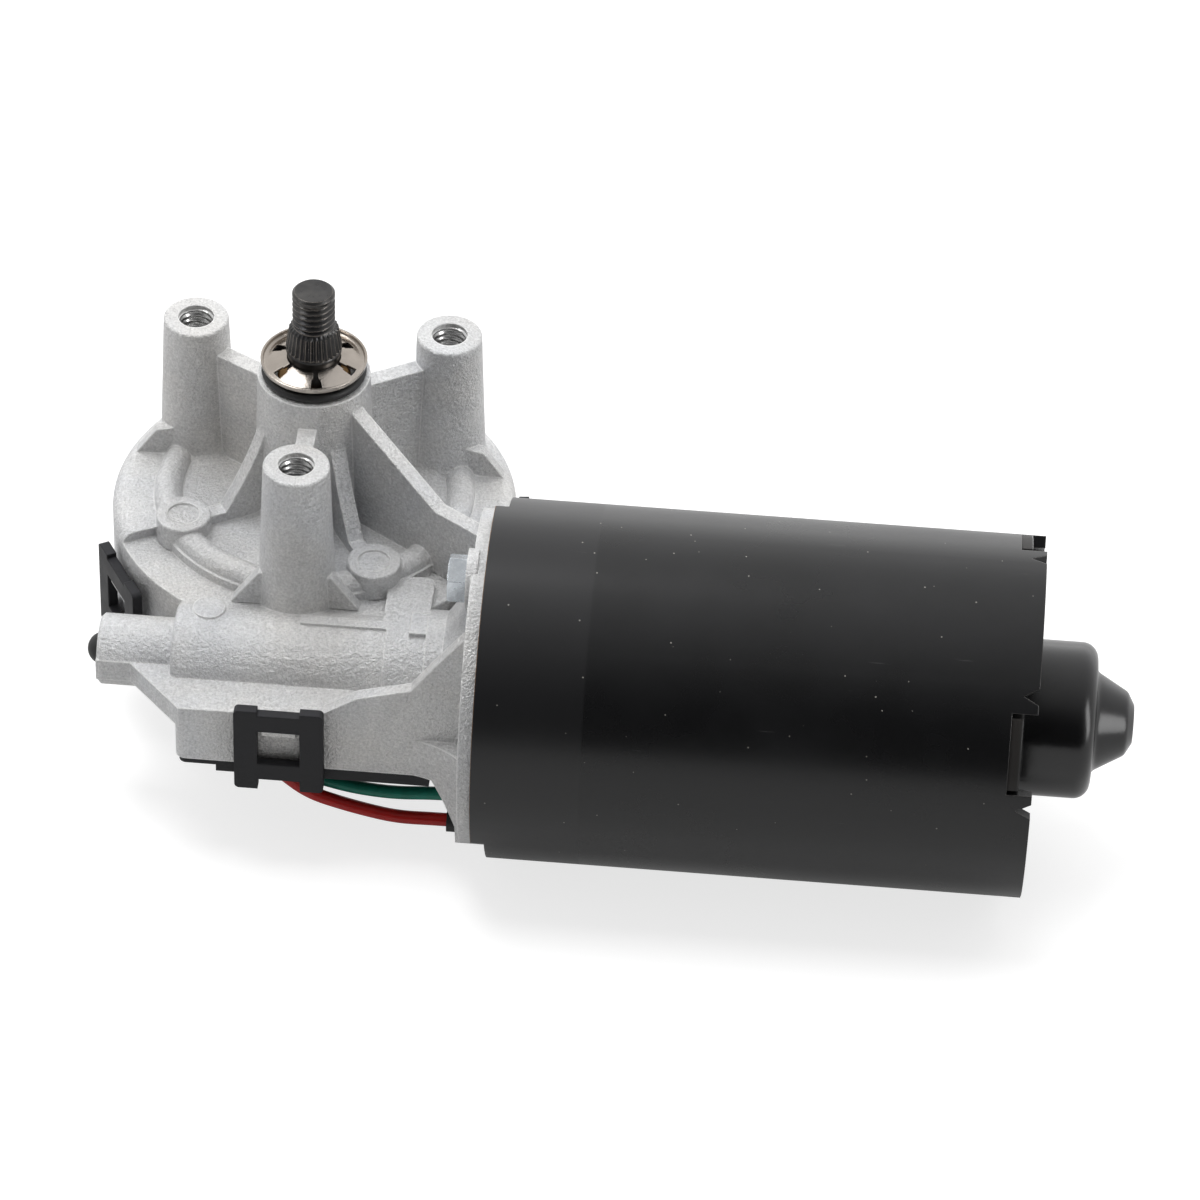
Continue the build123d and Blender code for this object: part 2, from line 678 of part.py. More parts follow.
def make_gear_housing():
    case = rod_z(CASE_R, SEAT_Z, DECK_Z)
    case = fillet(case.edges().sort_by(Axis.Z)[-1], CASE_EDGE_FILLET)
    case -= deck_steps()
    tower_h = DECK_DEPTH + DECK_T - TOWER_TOP_DROP
    tower = Pos(0, 0, -TOWER_TOP_DROP - tower_h / 2) * Cone(TOWER_BASE_R, TOWER_TOP_R, tower_h)
    apron = Pos(0, 0, SEAT_Z) * extrude(seat_outline() - Circle(CASE_R), -SEAT_Z - SHELF_DEPTH)
    pieces = [tower, apron, shelf_plate(), case_brace(), front_web(), apron_swell()]
    pieces += case_bosses() + root_flares() + case_spokes() + pad_webs() + ring_ridges()
    pieces += case_pads() + case_gussets() + worm_tube() + tube_top_details() + motor_flange()
    pieces.append(catch_nub(-APRON_Y, 270, CLIP_W))
    for angle, width in SIDE_CLIPS:
        pieces.append(catch_nub(CASE_R, angle, width))
    body = case
    for piece in pieces:
        body = body + piece
    for cut in case_cavity():
        body = body - cut
    return biggest(body)


# ---------------------------------------------------------------- gear case fittings
def make_output_bush(top, length):
    """Plain sintered bush for the output shaft."""
    sleeve = rod_z(OUT_BUSH_R, top - length, top)
    sleeve = chamfer(sleeve.edges().filter_by(GeomType.CIRCLE), 0.4)
    return sleeve - rod_z(OUT_R + BUSH_FIT, top - length - 1, top + 1)


def make_worm_end_bush():
    x1 = BUSH_SEAT_X
    sleeve = rod_x(END_BUSH_R, x1 - END_BUSH_L, x1)
    return sleeve - rod_x(JOURNAL_R + BUSH_FIT, x1 - END_BUSH_L - 1, x1 + 1)


def make_thrust_pad():
    x1 = JOURNAL_END_X - RUN_GAP / 3
    return rod_x(END_BUSH_R, x1 - THRUST_PAD_T, x1)


def make_adjuster_screw():
    x1 = JOURNAL_END_X - RUN_GAP / 3 - THRUST_PAD_T
    screw = rod_x(END_BUSH_R, TUBE_END_X, x1)
    hexagon = Plane.YZ * RegularPolygon(SCREW_HEX_AF / 2, 6, major_radius=False)
    key = Pos(TUBE_END_X, WORM_Y, WORM_Z) * extrude(hexagon, 2.0)
    return screw - key


def make_end_plug():
    """Domed rubber plug on the end of the worm tube."""
    rise = PLUG_BULGE
    ball_r = (PLUG_R ** 2 + rise ** 2) / (2 * rise)
    dome = Pos(TUBE_END_X - rise + ball_r, WORM_Y, WORM_Z) * Sphere(ball_r)
    return dome & rod_x(PLUG_R + 1, TUBE_END_X - rise - 1, TUBE_END_X)


def make_oring():
    centre_z = -TOWER_TOP_DROP + ORING_WIRE_R
    bead = Plane.XZ * Pos(ORING_R, centre_z) * Circle(ORING_WIRE_R)
    return revolve(bead, Axis.Z)


def make_cover_seal():
    ring = seat_outline(SEAL_INSET + 0.05) - seat_outline(SEAL_INSET + SEAL_W - 0.05)
    return Pos(0, 0, SEAT_Z) * extrude(ring, SEAL_T)


# ---------------------------------------------------------------- output shaft group
def make_output_shaft():
    low = SEAT_Z + 3.2
    outline = (
        (0, low),
        (OUT_R - 0.5, low),
        (OUT_R, low + 0.5),
        (OUT_R, KNURL_BOTTOM - SNAP_GROOVE_W),
        (SNAP_GROOVE_R, KNURL_BOTTOM - SNAP_GROOVE_W),
        (SNAP_GROOVE_R, KNURL_BOTTOM - 0.3),
        (OUT_R, KNURL_BOTTOM),
        (KNURL_BOTTOM_R, KNURL_BOTTOM),
        (KNURL_TOP_R, THREAD_BOTTOM),
        (THREAD_R - 0.5, THREAD_BOTTOM),
        (THREAD_R, THREAD_BOTTOM + 0.6),
        (THREAD_R, OUT_TOP - TIP_CHAMFER),
        (THREAD_R - TIP_CHAMFER, OUT_TOP),
        (0, OUT_TOP),
    )
    shaft = turned_z(outline)
    pitch = 2 * math.pi * KNURL_BOTTOM_R / KNURL_COUNT
    outer = KNURL_BOTTOM_R + 1
    half = pitch * 0.9
    notch = make_face(Polyline((KNURL_BOTTOM_R - KNURL_DEPTH, 0), (outer, half), (outer, -half), close=True))
    lean = math.degrees(math.atan2(KNURL_BOTTOM_R - KNURL_TOP_R, THREAD_BOTTOM - KNURL_BOTTOM))
    tooth_gap = extrude(notch, THREAD_BOTTOM - KNURL_BOTTOM + 1)
    tooth_gap = Rot(0, -lean, 0) * Pos(-KNURL_BOTTOM_R, 0, 0) * tooth_gap
    tooth_gap = Pos(KNURL_BOTTOM_R, 0, KNURL_BOTTOM) * tooth_gap
    tooth_gap = tooth_gap & rod_z(KNURL_BOTTOM_R + 2, KNURL_BOTTOM, THREAD_BOTTOM)
    gaps = [Rot(0, 0, i * 360 / KNURL_COUNT) * tooth_gap for i in range(KNURL_COUNT)]
    shaft = shaft - gaps
    flat = block(OUT_R - DRIVE_FLAT, OUT_R + 1, -OUT_R, OUT_R, low - 1, WORM_Z + WHEEL_FACE / 2)
    return biggest(shaft - flat)


def make_star_washer():
    """Dished push-on washer with a turned-up lip and slots from its neck."""
    foot = WASHER_LIFT
    outline = (
        (OUT_R, WASHER_NECK_Z),
        (OUT_R, WASHER_NECK_Z - WASHER_T),
        (WASHER_DISH_R, foot),
        (WASHER_R, foot),
        (WASHER_R, foot + WASHER_LIP),
        (WASHER_R - WASHER_T, foot + WASHER_LIP),
        (WASHER_R - WASHER_T, foot + WASHER_T),
        (WASHER_DISH_R, foot + WASHER_T),
    )
    washer = turned_z(outline)
    slot = make_face(
        Polyline((0, -WASHER_SLOT_W), (WASHER_SLOT_R, -WASHER_SLOT_W / 2), (WASHER_SLOT_R, WASHER_SLOT_W / 2),
                 (0, WASHER_SLOT_W), close=True)
    )
    slot = Pos(0, 0, foot - 1) * extrude(slot, WASHER_NECK_Z - foot + 2)
    slots = [Rot(0, 0, WASHER_SLOT_ANGLE + i * 360 / WASHER_SLOTS) * slot for i in range(WASHER_SLOTS)]
    return biggest(washer - slots)


def make_shim():
    z0 = WORM_Z + WHEEL_FACE / 2
    return rod_z(WHEEL_HUB_R - 1, z0, z0 + SHIM_T) - rod_z(OUT_R, z0 - 1, z0 + SHIM_T + 1)


def make_worm_wheel():
    """Plastic helical wheel: toothed rim, pocketed web and hub."""
    z0, z1 = WORM_Z - WHEEL_FACE / 2, WORM_Z + WHEEL_FACE / 2
    tip_r = WHEEL_PITCH_R + WHEEL_TIP_ADD
    root_r = WHEEL_PITCH_R - WHEEL_ROOT_DED
    half_pitch = math.pi * MODULE / 4 + TOOTH_THINNING
    slope = math.tan(math.radians(PRESSURE_ANGLE))
    half_root = half_pitch - WHEEL_ROOT_DED * slope
    over = WHEEL_TIP_ADD + 0.5
    half_tip = half_pitch + over * slope
    gap_face = make_face(
        Polyline((root_r, half_root), (WHEEL_PITCH_R + over, half_tip), (WHEEL_PITCH_R + over, -half_tip),
                 (root_r, -half_root), close=True)
    )
    gap = extrude(gap_face, WHEEL_FACE, both=True)
    gap = Rot(-LEAD_ANGLE, 0, 0) * gap
    gap = Pos(0, 0, WORM_Z) * gap
    blank = rod_z(tip_r, z0, z1)
    gaps = [Rot(0, 0, -90 + i * 360 / WHEEL_TEETH) * gap for i in range(WHEEL_TEETH)]
    wheel = blank - gaps
    recess_h = (WHEEL_FACE - WHEEL_WEB_T) / 2
    top_recess = rod_z(WHEEL_RIM_R, z1 - recess_h, z1 + 1) - rod_z(WHEEL_HUB_R, z0, z1 + 2)
    wheel -= top_recess
    pocket_circle = (WHEEL_RIM_R + WHEEL_HUB_R) / 2
    for i in range(WHEEL_POCKETS):
        angle = math.radians(i * 360 / WHEEL_POCKETS)
        x, y = pocket_circle * math.cos(angle), pocket_circle * math.sin(angle)
        wheel -= rod_z(WHEEL_POCKET_R, z0 + recess_h, z1, x, y)
    bore = rod_z(OUT_R, z0 - 1, z1 + 1)
    bore -= block(OUT_R - DRIVE_FLAT, OUT_R + 1, -OUT_R, OUT_R, z0 - 2, z1 + 2)
    return biggest(wheel - bore)


def make_contact_disc():
    """Copper park disc under the wheel, with a notch in its outer track."""
    z1 = WORM_Z - WHEEL_FACE / 2
    z0 = z1 - CONTACT_DISC_T
    disc = rod_z(CONTACT_DISC_R, z0, z1) - rod_z(CONTACT_DISC_BORE_R, z0 - 1, z1 + 1)
    track = (CONTACT_SPRING_RADII[1] + CONTACT_SPRING_RADII[2]) / 2
    swing = math.radians(CONTACT_NOTCH_ANGLE)
    far = CONTACT_DISC_R * 2
    wedge = make_face(Polyline((0, 0), (far, 0), (far * math.cos(swing), far * math.sin(swing)), close=True))
    notch = Pos(0, 0, z0 - 1) * extrude(wedge, CONTACT_DISC_T + 2)
    return disc - (notch - rod_z(track, z0 - 2, z1 + 2))


# ---------------------------------------------------------------- armature group
def make_armature_shaft():
    """One steel shaft with the worm cut on it, a domed end and a plain far journal."""
    far_x = HUB_X1 + 1.5
    thread_x0, thread_x1 = -WORM_HALF_LEN, WORM_HALF_LEN
    shaft = rod_x(JOURNAL_R, JOURNAL_END_X + 1, thread_x0)
    shaft += Pos(JOURNAL_END_X + JOURNAL_R, WORM_Y, WORM_Z) * Sphere(JOURNAL_R)
    shaft += rod_x(WORM_ROOT_R, thread_x0 - 1, thread_x1 + WORM_LEAD)
    shaft += rod_x(SHAFT_R, thread_x1 + WORM_LEAD / 2, far_x)
    shaft = shaft & rod_x(SHAFT_R + 1, JOURNAL_END_X, far_x)
    slope = math.tan(math.radians(PRESSURE_ANGLE))
    half_pitch = math.pi * MODULE / 4 - THREAD_THINNING
    half_tip = half_pitch - (WORM_TIP_R - WORM_PITCH_R) * slope
    sunk = 0.4
    half_root = half_pitch + (WORM_PITCH_R - WORM_ROOT_R + sunk) * slope
    length = thread_x1 - thread_x0
    helix = Helix(pitch=WORM_LEAD, height=length, radius=WORM_ROOT_R - sunk, lefthand=False)
    section = Plane(origin=helix @ 0, x_dir=(1, 0, 0), z_dir=helix % 0)
    tooth = section * make_face(
        Polyline((0, -half_root), (WORM_TIP_R - WORM_ROOT_R + sunk, -half_tip),
                 (WORM_TIP_R - WORM_ROOT_R + sunk, half_tip), (0, half_root), close=True)
    )
    thread = sweep(tooth, path=helix, is_frenet=True)
    turn_to_mesh = 90 + 360 * thread_x0 / WORM_LEAD
    thread = Pos(0, WORM_Y, WORM_Z) * Rot(0, 90, 0) * Pos(0, 0, thread_x0) * Rot(0, 0, turn_to_mesh) * thread
    shaft = shaft + (thread & rod_x(WORM_TIP_R + 1, thread_x0, thread_x1))
    return biggest(shaft)


def make_armature_core():
    """Lamination stack with round slots that open at the rim."""
    x0, x1 = CORE_X0, CORE_X0 + CORE_LENGTH
    core = Cylinder(CORE_R, CORE_LENGTH) - Cylinder(SHAFT_R, CORE_LENGTH + 2)
    slot = Pos(CORE_SLOT_CIRCLE_R, 0, 0) * Cylinder(CORE_SLOT_R, CORE_LENGTH + 2)
    slot += Pos(CORE_R, 0, 0) * Box(2 * (CORE_R - CORE_SLOT_CIRCLE_R), CORE_SLOT_MOUTH, CORE_LENGTH + 2)
    slots = [Rot(0, 0, i * 360 / CORE_SLOTS) * slot for i in range(CORE_SLOTS)]
    core = core - slots
    return Pos((x0 + x1) / 2, WORM_Y, WORM_Z) * Rot(0, 90, 0) * core


def make_windings():
    """Copper winding: a bar in every slot and a rounded head at each end of the stack."""
    x0, x1 = CORE_X0, CORE_X0 + CORE_LENGTH
    inner = SHAFT_R + COIL_CLEARANCE + 2.5
    bulge = WINDING_OVERHANG
    heads = []
    for face_x, side in ((x0, -1), (x1, 1)):
        outline = (
            (face_x, inner),
            (face_x, WINDING_R),
            (face_x + side * bulge * 0.6, WINDING_R),
            (face_x + side * bulge, WINDING_R - 2.5),
            (face_x + side * bulge, inner + 2),
            (face_x + side * bulge * 0.6, inner),
        )
        heads.append(turned_x(outline))
    winding = heads[0] + heads[1]
    for i in range(CORE_SLOTS):
        angle = math.radians(i * 360 / CORE_SLOTS)
        y = WORM_Y + CORE_SLOT_CIRCLE_R * math.sin(angle)
        z = WORM_Z - CORE_SLOT_CIRCLE_R * math.cos(angle)
        winding += rod_x(CORE_SLOT_R - COIL_CLEARANCE, x0 - 1, x1 + 1, y, z)
    return biggest(winding)


def make_commutator():
    """Copper shell with slits between its bars and a tang at the end of each bar."""
    x0, x1 = COMM_X0, COMM_X0 + COMM_LENGTH
    shell = rod_x(COMM_R, x0, x1) - rod_x(COMM_HUB_R, x0 - 1, x1 + 1)
    slit = Pos(0, COMM_R, 0) * Box(COMM_LENGTH + 2, 2 * COMM_SLIT_DEPTH, COMM_SLIT_W)
    tang = Pos(COMM_LENGTH / 2 - COMM_TANG_L / 2, COMM_R + COMM_TANG_H / 2 - 0.5, 0)
    tang = tang * Box(COMM_TANG_L, COMM_TANG_H + 1, 1.6)
    half = 360 / CORE_SLOTS / 2
    for i in range(CORE_SLOTS):
        turn = i * 360 / CORE_SLOTS
        place = Pos((x0 + x1) / 2, WORM_Y, WORM_Z)
        shell = shell - place * Rot(turn, 0, 0) * slit
        shell = shell + place * Rot(turn + half, 0, 0) * tang
    return biggest(shell)


def make_commutator_hub():
    """Moulded hub between shaft and commutator, long enough to reach the winding."""
    x0 = COMM_X0
    x1 = CORE_X0 - WINDING_OVERHANG
    hub = rod_x(COMM_HUB_R, x0, x1) - rod_x(SHAFT_R, x0 - 1, x1 + 1)
    return hub


def bearing_groove():
    """The ring that both races are grooved for."""
    mid = MOTOR_FACE_X - BEARING_W / 2
    circle = Pos(mid, BALL_PITCH_R) * Circle(BALL_R + BALL_CLEARANCE)
    return Pos(0, WORM_Y, WORM_Z) * revolve(circle, Axis.X)


def make_bearing_outer():
    x0, x1 = MOTOR_FACE_X - BEARING_W, MOTOR_FACE_X
    land = BALL_PITCH_R + BEARING_LAND
    ring = rod_x(BEARING_R, x0, x1) - rod_x(land, x0 - 1, x1 + 1)
    return ring - bearing_groove()


def make_bearing_inner():
    x0, x1 = MOTOR_FACE_X - BEARING_W, MOTOR_FACE_X
    ring = rod_x(BALL_PITCH_R - BEARING_LAND, x0, x1) - rod_x(SHAFT_R, x0 - 1, x1 + 1)
    return ring - bearing_groove()


def make_bearing_balls():
    mid = MOTOR_FACE_X - BEARING_W / 2
    balls = []
    for i in range(BALL_COUNT):
        angle = math.radians(i * 360 / BALL_COUNT)
        y = WORM_Y + BALL_PITCH_R * math.cos(angle)
        z = WORM_Z + BALL_PITCH_R * math.sin(angle)
        balls.append(Pos(mid, y, z) * Sphere(BALL_R))
    return group(balls)


# ---------------------------------------------------------------- motor can and end cap
def ring_sector(radius, x0, x1, start, end):
    """Solid wedge about the worm axis between two angles, counted from the front upwards."""
    count = max(2, math.ceil((end - start) / 60) + 1)
    reach = radius / math.cos(math.radians((end - start) / (count - 1) / 2))
    points = [(0.0, 0.0)]
    for i in range(count):
        angle = math.radians(start + (end - start) * i / (count - 1))
        points.append((-reach * math.cos(angle), reach * math.sin(angle)))
    face = Plane.YZ * make_face(Polyline(*points, close=True))
    return Pos(x0, WORM_Y, WORM_Z) * extrude(face, x1 - x0)


def make_motor_can():
    """Drawn steel tube: notched where it meets the gear case, slotted and nicked for the end cap."""
    can = rod_x(CAN_R, CAN_X0, CAN_X1)
    can -= rod_x(CAN_INNER_R, CAN_X0 - 1, CAN_X1 + 1)
    notch_end = CAN_TONGUE_START + 360
    can -= ring_sector(CAN_R + 2, CAN_X0 - 1, CAN_X0 + CAN_NOTCH_DEPTH, CAN_TONGUE_END, notch_end)
    for i in range(CRIMP_COUNT):
        centre = CRIMP_FIRST_ANGLE + i * 360 / CRIMP_COUNT
        can -= ring_sector(CAN_R + 2, CAN_X1 - CRIMP_SLOT_DEPTH, CAN_X1 + 1,
                           centre - CRIMP_SLOT_HALF, centre + CRIMP_SLOT_HALF)
        for side in (-1, 1):
            can -= crimp_nick(centre + side * CRIMP_V_CENTRE)
    return biggest(can)


def crimp_nick(angle):
    """V-shaped nick in the rim of the can."""
    half = CAN_R * math.radians(CRIMP_V_HALF)
    spread = half * (CRIMP_V_DEPTH + 1) / CRIMP_V_DEPTH
    tip = CAN_X1 - CRIMP_V_DEPTH
    wedge = extrude(make_face(Polyline((tip, 0), (CAN_X1 + 1, spread), (CAN_X1 + 1, -spread), close=True)), 6)
    wedge = Pos(0, 0, CAN_R - 4) * wedge
    return Pos(0, WORM_Y, WORM_Z) * Rot(90 - angle, 0, 0) * wedge


def make_end_cap():
    """Pressed end cap: disc with four ears in the crimp slots, round hub and a coned nose."""
    x0, x1 = CAP_X0, CAP_X0 + CAP_T
    disc = rod_x(CAN_INNER_R - 0.1, x0, x1)
    ear_ring = rod_x(CAN_R - 0.1, x0, x1)
    for i in range(CRIMP_COUNT):
        centre = CRIMP_FIRST_ANGLE + i * 360 / CRIMP_COUNT
        disc += ring_sector(CAN_R + 2, x0, x1, centre - CAP_EAR_HALF, centre + CAP_EAR_HALF) & ear_ring
    tip_x = HUB_X1 + NOSE_LENGTH
    shoulder, valley = (HUB_X1, HUB_R), (HUB_X1, NOSE_ROOT_R)
    brow = (HUB_X1 + NOSE_CONE_LENGTH, NOSE_CONE_R)
    outline = make_face(
        Polyline((x0, 0), (x0, HUB_R), shoulder, valley, brow, (tip_x, NOSE_FACE_R), (tip_x, 0), close=True)
    )
    for corner, radius in ((shoulder, HUB_ROUND), (valley, NOSE_ROUND), (brow, NOSE_ROUND)):
        outline = fillet(outline.vertices().sort_by_distance((*corner, 0))[0], radius)
    hub = Pos(0, WORM_Y, WORM_Z) * revolve(outline, Axis.X)
    cap = disc + hub
    bush_x1 = HUB_X1 - NOSE_TAIL
    bush_x0 = bush_x1 - END_CAP_BUSH_L
    cap -= rod_x(HUB_R - HUB_WALL, x0 - 1, bush_x0)
    cap -= rod_x(END_CAP_BUSH_R, bush_x0 - 1, bush_x1)
    cap -= rod_x(SHAFT_R + 1, bush_x1 - 1, HUB_X1 + NOSE_LENGTH - 3.6)
    return biggest(cap)


def make_cap_bush():
    x1 = HUB_X1 - NOSE_TAIL
    x0 = x1 - END_CAP_BUSH_L
    return rod_x(END_CAP_BUSH_R, x0, x1) - rod_x(SHAFT_R + BUSH_FIT, x0 - 1, x1 + 1)


def make_felt_ring():
    x1 = HUB_X1 - NOSE_TAIL - END_CAP_BUSH_L
    return rod_x(HUB_R - HUB_WALL - 2, x1 - FELT_T, x1) - rod_x(SHAFT_R + RUN_GAP, x1 - FELT_T - 1, x1 + 1)


def make_bush_retainer():
    """Spring steel star plate that holds the felt and bush in the hub."""
    x1 = HUB_X1 - NOSE_TAIL - END_CAP_BUSH_L - FELT_T
    x0 = x1 - RETAINER_T
    plate = rod_x(HUB_R - HUB_WALL, x0, x1) - rod_x(SHAFT_R + 1.5, x0 - 1, x1 + 1)
    notch = Pos(0, HUB_R - HUB_WALL, 0) * Box(3, 4, 2)
    for i in range(6):
        plate -= Pos((x0 + x1) / 2, WORM_Y, WORM_Z) * Rot(i * 60, 0, 0) * notch
    return biggest(plate)


def make_magnets():
    """Two arc magnets against the can wall."""
    x0, x1 = CORE_X0 - MAGNET_OVERHANG, CORE_X0 + CORE_LENGTH + MAGNET_OVERHANG
    shell = rod_x(CAN_INNER_R, x0, x1) - rod_x(CORE_R + AIR_GAP, x0 - 1, x1 + 1)
    magnets = []
    for centre in (0, 180):
        wedge = ring_sector(CAN_R, x0, x1, centre - MAGNET_HALF_ANGLE, centre + MAGNET_HALF_ANGLE)
        magnets.append(biggest(shell & wedge))
    return group(magnets)


def make_magnet_springs():
    """Two bowed strips that push the magnets apart, one in each gap."""
    x0, x1 = CORE_X0 - MAGNET_OVERHANG, CORE_X0 + CORE_LENGTH + MAGNET_OVERHANG
    half = 90 - MAGNET_HALF_ANGLE
    sheet = rod_x(CAN_INNER_R, x0, x1) - rod_x(CAN_INNER_R - MAGNET_SPRING_T, x0 - 1, x1 + 1)
    springs = []
    for turn in (90, 270):
        springs.append(biggest(sheet & ring_sector(CAN_R, x0, x1, turn - half, turn + half)))
    return group(springs)


# ---------------------------------------------------------------- brush gear
def make_front_plate():
    """Steel plate inside the can mouth that the flange bolts screw into."""
    x0, x1 = MOTOR_FACE_X, MOTOR_FACE_X + PLATE_T
    plate = rod_x(CAN_INNER_R, x0, x1) - rod_x(BALL_PITCH_R + BEARING_LAND, x0 - 1, x1 + 1)
    for y, z in flange_bolt_spots():
        plate += rod_x(BOLT_SHANK_R + 2.0, x1 - 0.5, x1 + BRUSH_PLATE_T, y, z)
        plate -= rod_x(BOLT_SHANK_R, x0 - 1, x1 + BRUSH_PLATE_T + 1, y, z)
    for route in (RED_ROUTE, GREEN_ROUTE):
        _, y, z = route[-1]
        plate -= rod_x(GROMMET_R, x0 - 1, x1 + 1, y, z)
    return biggest(plate)


def make_brush_plate():
    """Moulded card that carries the brush boxes."""
    x0 = MOTOR_FACE_X + PLATE_T
    x1 = x0 + BRUSH_PLATE_T
    plate = rod_x(CAN_INNER_R - 0.3, x0, x1) - rod_x(BRUSH_PLATE_BORE_R, x0 - 1, x1 + 1)
    for y, z in flange_bolt_spots():
        plate -= rod_x(BOLT_SHANK_R + 2.3, x0 - 1, x1 + 1, y, z)
    for route in (RED_ROUTE, GREEN_ROUTE):
        _, y, z = route[-1]
        plate -= rod_x(LEAD_R + 0.3, x0 - 1, x1 + 1, y, z)
    return biggest(plate)


def brush_place(angle):
    """Local frame of a brush: +X outwards from the commutator, +Y along the armature."""
    x = MOTOR_FACE_X + PLATE_T + BRUSH_PLATE_T
    return Pos(x, WORM_Y, WORM_Z) * Rot(-angle, 0, 0) * Rot(0, 0, 90)


def brush_box_span():
    start = COMM_R + 1.6
    return start, start + BRUSH_L + 3.5


def make_brush_boxes():
    """Brass boxes that guide the brushes."""
    start, end = brush_box_span()
    outer_w = BRUSH_W + 2 * (BOX_FIT + BOX_WALL)
    outer_d = BRUSH_DEPTH + 2 * (BOX_FIT + BOX_WALL)
    inner_w = BRUSH_W + 2 * BOX_FIT
    inner_d = BRUSH_DEPTH + 2 * BOX_FIT
    mid = (start + end) / 2
    box = Box(end - start, outer_d, outer_w) - Pos(-BOX_WALL, 0, 0) * Box(end - start, inner_d, inner_w)
    box = Pos(mid, -outer_d / 2, 0) * box
    return group([brush_place(angle) * box for angle in BRUSH_ANGLES])


def make_brushes():
    """Carbon brushes with their ends shaped to the commutator."""
    outer_d = BRUSH_DEPTH + 2 * (BOX_FIT + BOX_WALL)
    tip = COMM_R + BRUSH_WEAR_GAP
    brush = Pos(COMM_R - 1 + BRUSH_L / 2, -outer_d / 2, 0) * Box(BRUSH_L, BRUSH_DEPTH, BRUSH_W)
    bore = Rot(90, 0, 0) * Cylinder(tip, 60)
    brush = biggest(brush - bore)
    return group([brush_place(angle) * brush for angle in BRUSH_ANGLES])


def make_brush_springs():
    """Coil springs between brush and box end."""
    outer_d = BRUSH_DEPTH + 2 * (BOX_FIT + BOX_WALL)
    start = COMM_R - 1 + BRUSH_L
    _, box_end = brush_box_span()
    length = box_end - BOX_WALL - start
    rise = length - 2 * BRUSH_SPRING_WIRE_R
    helix = Helix(pitch=rise / BRUSH_SPRING_TURNS, height=rise, radius=BRUSH_SPRING_R)
    wire = Plane(origin=helix @ 0, z_dir=helix % 0) * RegularPolygon(BRUSH_SPRING_WIRE_R, 6)
    coil = sweep(wire, path=helix, is_frenet=True)
    coil = Pos(start + BRUSH_SPRING_WIRE_R, -outer_d / 2, 0) * Rot(0, 90, 0) * coil
    return group([brush_place(angle) * coil for angle in BRUSH_ANGLES])


# ---------------------------------------------------------------- fasteners
def make_flange_bolts():
    """Hex bolts through the casting flange into the front plate."""
    bolts = []
    for y, z in flange_bolt_spots():
        seat = FLANGE_X - BOLT_PAD_T
        head = Plane.YZ * RegularPolygon(BOLT_HEAD_AF / 2, 6, major_radius=False, rotation=30)
        head = Pos(seat - BOLT_HEAD_T, y, z) * extrude(head, BOLT_HEAD_T)
        crown = Pos(seat - BOLT_HEAD_T / 2, y, z) * Rot(0, 90, 0)
        crown = crown * Cone(BOLT_HEAD_AF * 0.52, BOLT_HEAD_AF * 0.52 + BOLT_HEAD_T * 1.7, BOLT_HEAD_T)
        shank = rod_x(BOLT_SHANK_R, seat - 0.5, MOTOR_FACE_X + PLATE_T + BRUSH_PLATE_T, y, z)
        bolts.append(biggest((head & crown) + shank))
    return group(bolts)


# ---------------------------------------------------------------- bottom cover
def clip_frame(distance, angle, width):
    """Snap clip with a window, standing up from the cover outside the casting wall."""
    inner = distance + CLIP_GAP
    outer = inner + CLIP_T
    half = width / 2
    clip = block(inner, outer, -half, half, SEAT_Z - CLIP_FOOT_DROP, SEAT_Z + CLIP_TOP_RISE)
    clip = fillet(clip.edges().filter_by(Axis.X), 0.9)
    half_window = half - CLIP_LEG_W
    top = SEAT_Z + CLIP_TOP_RISE
    foot = SEAT_Z - CLIP_FOOT_DROP
    for low, high in (
        (SEAT_Z + CLIP_SILL, SEAT_Z + CLIP_WINDOW_RISE),
        (foot - 1, SEAT_Z - COVER_RIM_T),
        (top - CLIP_TOP_DIP, top + 1),
    ):
        clip -= block(inner - 1, outer + 1, -half_window, half_window, low, high)
    bridge = block(distance - 3, inner + 0.5, -half, half, SEAT_Z - COVER_RIM_T, SEAT_Z)
    return Rot(0, 0, angle) * (clip + bridge)


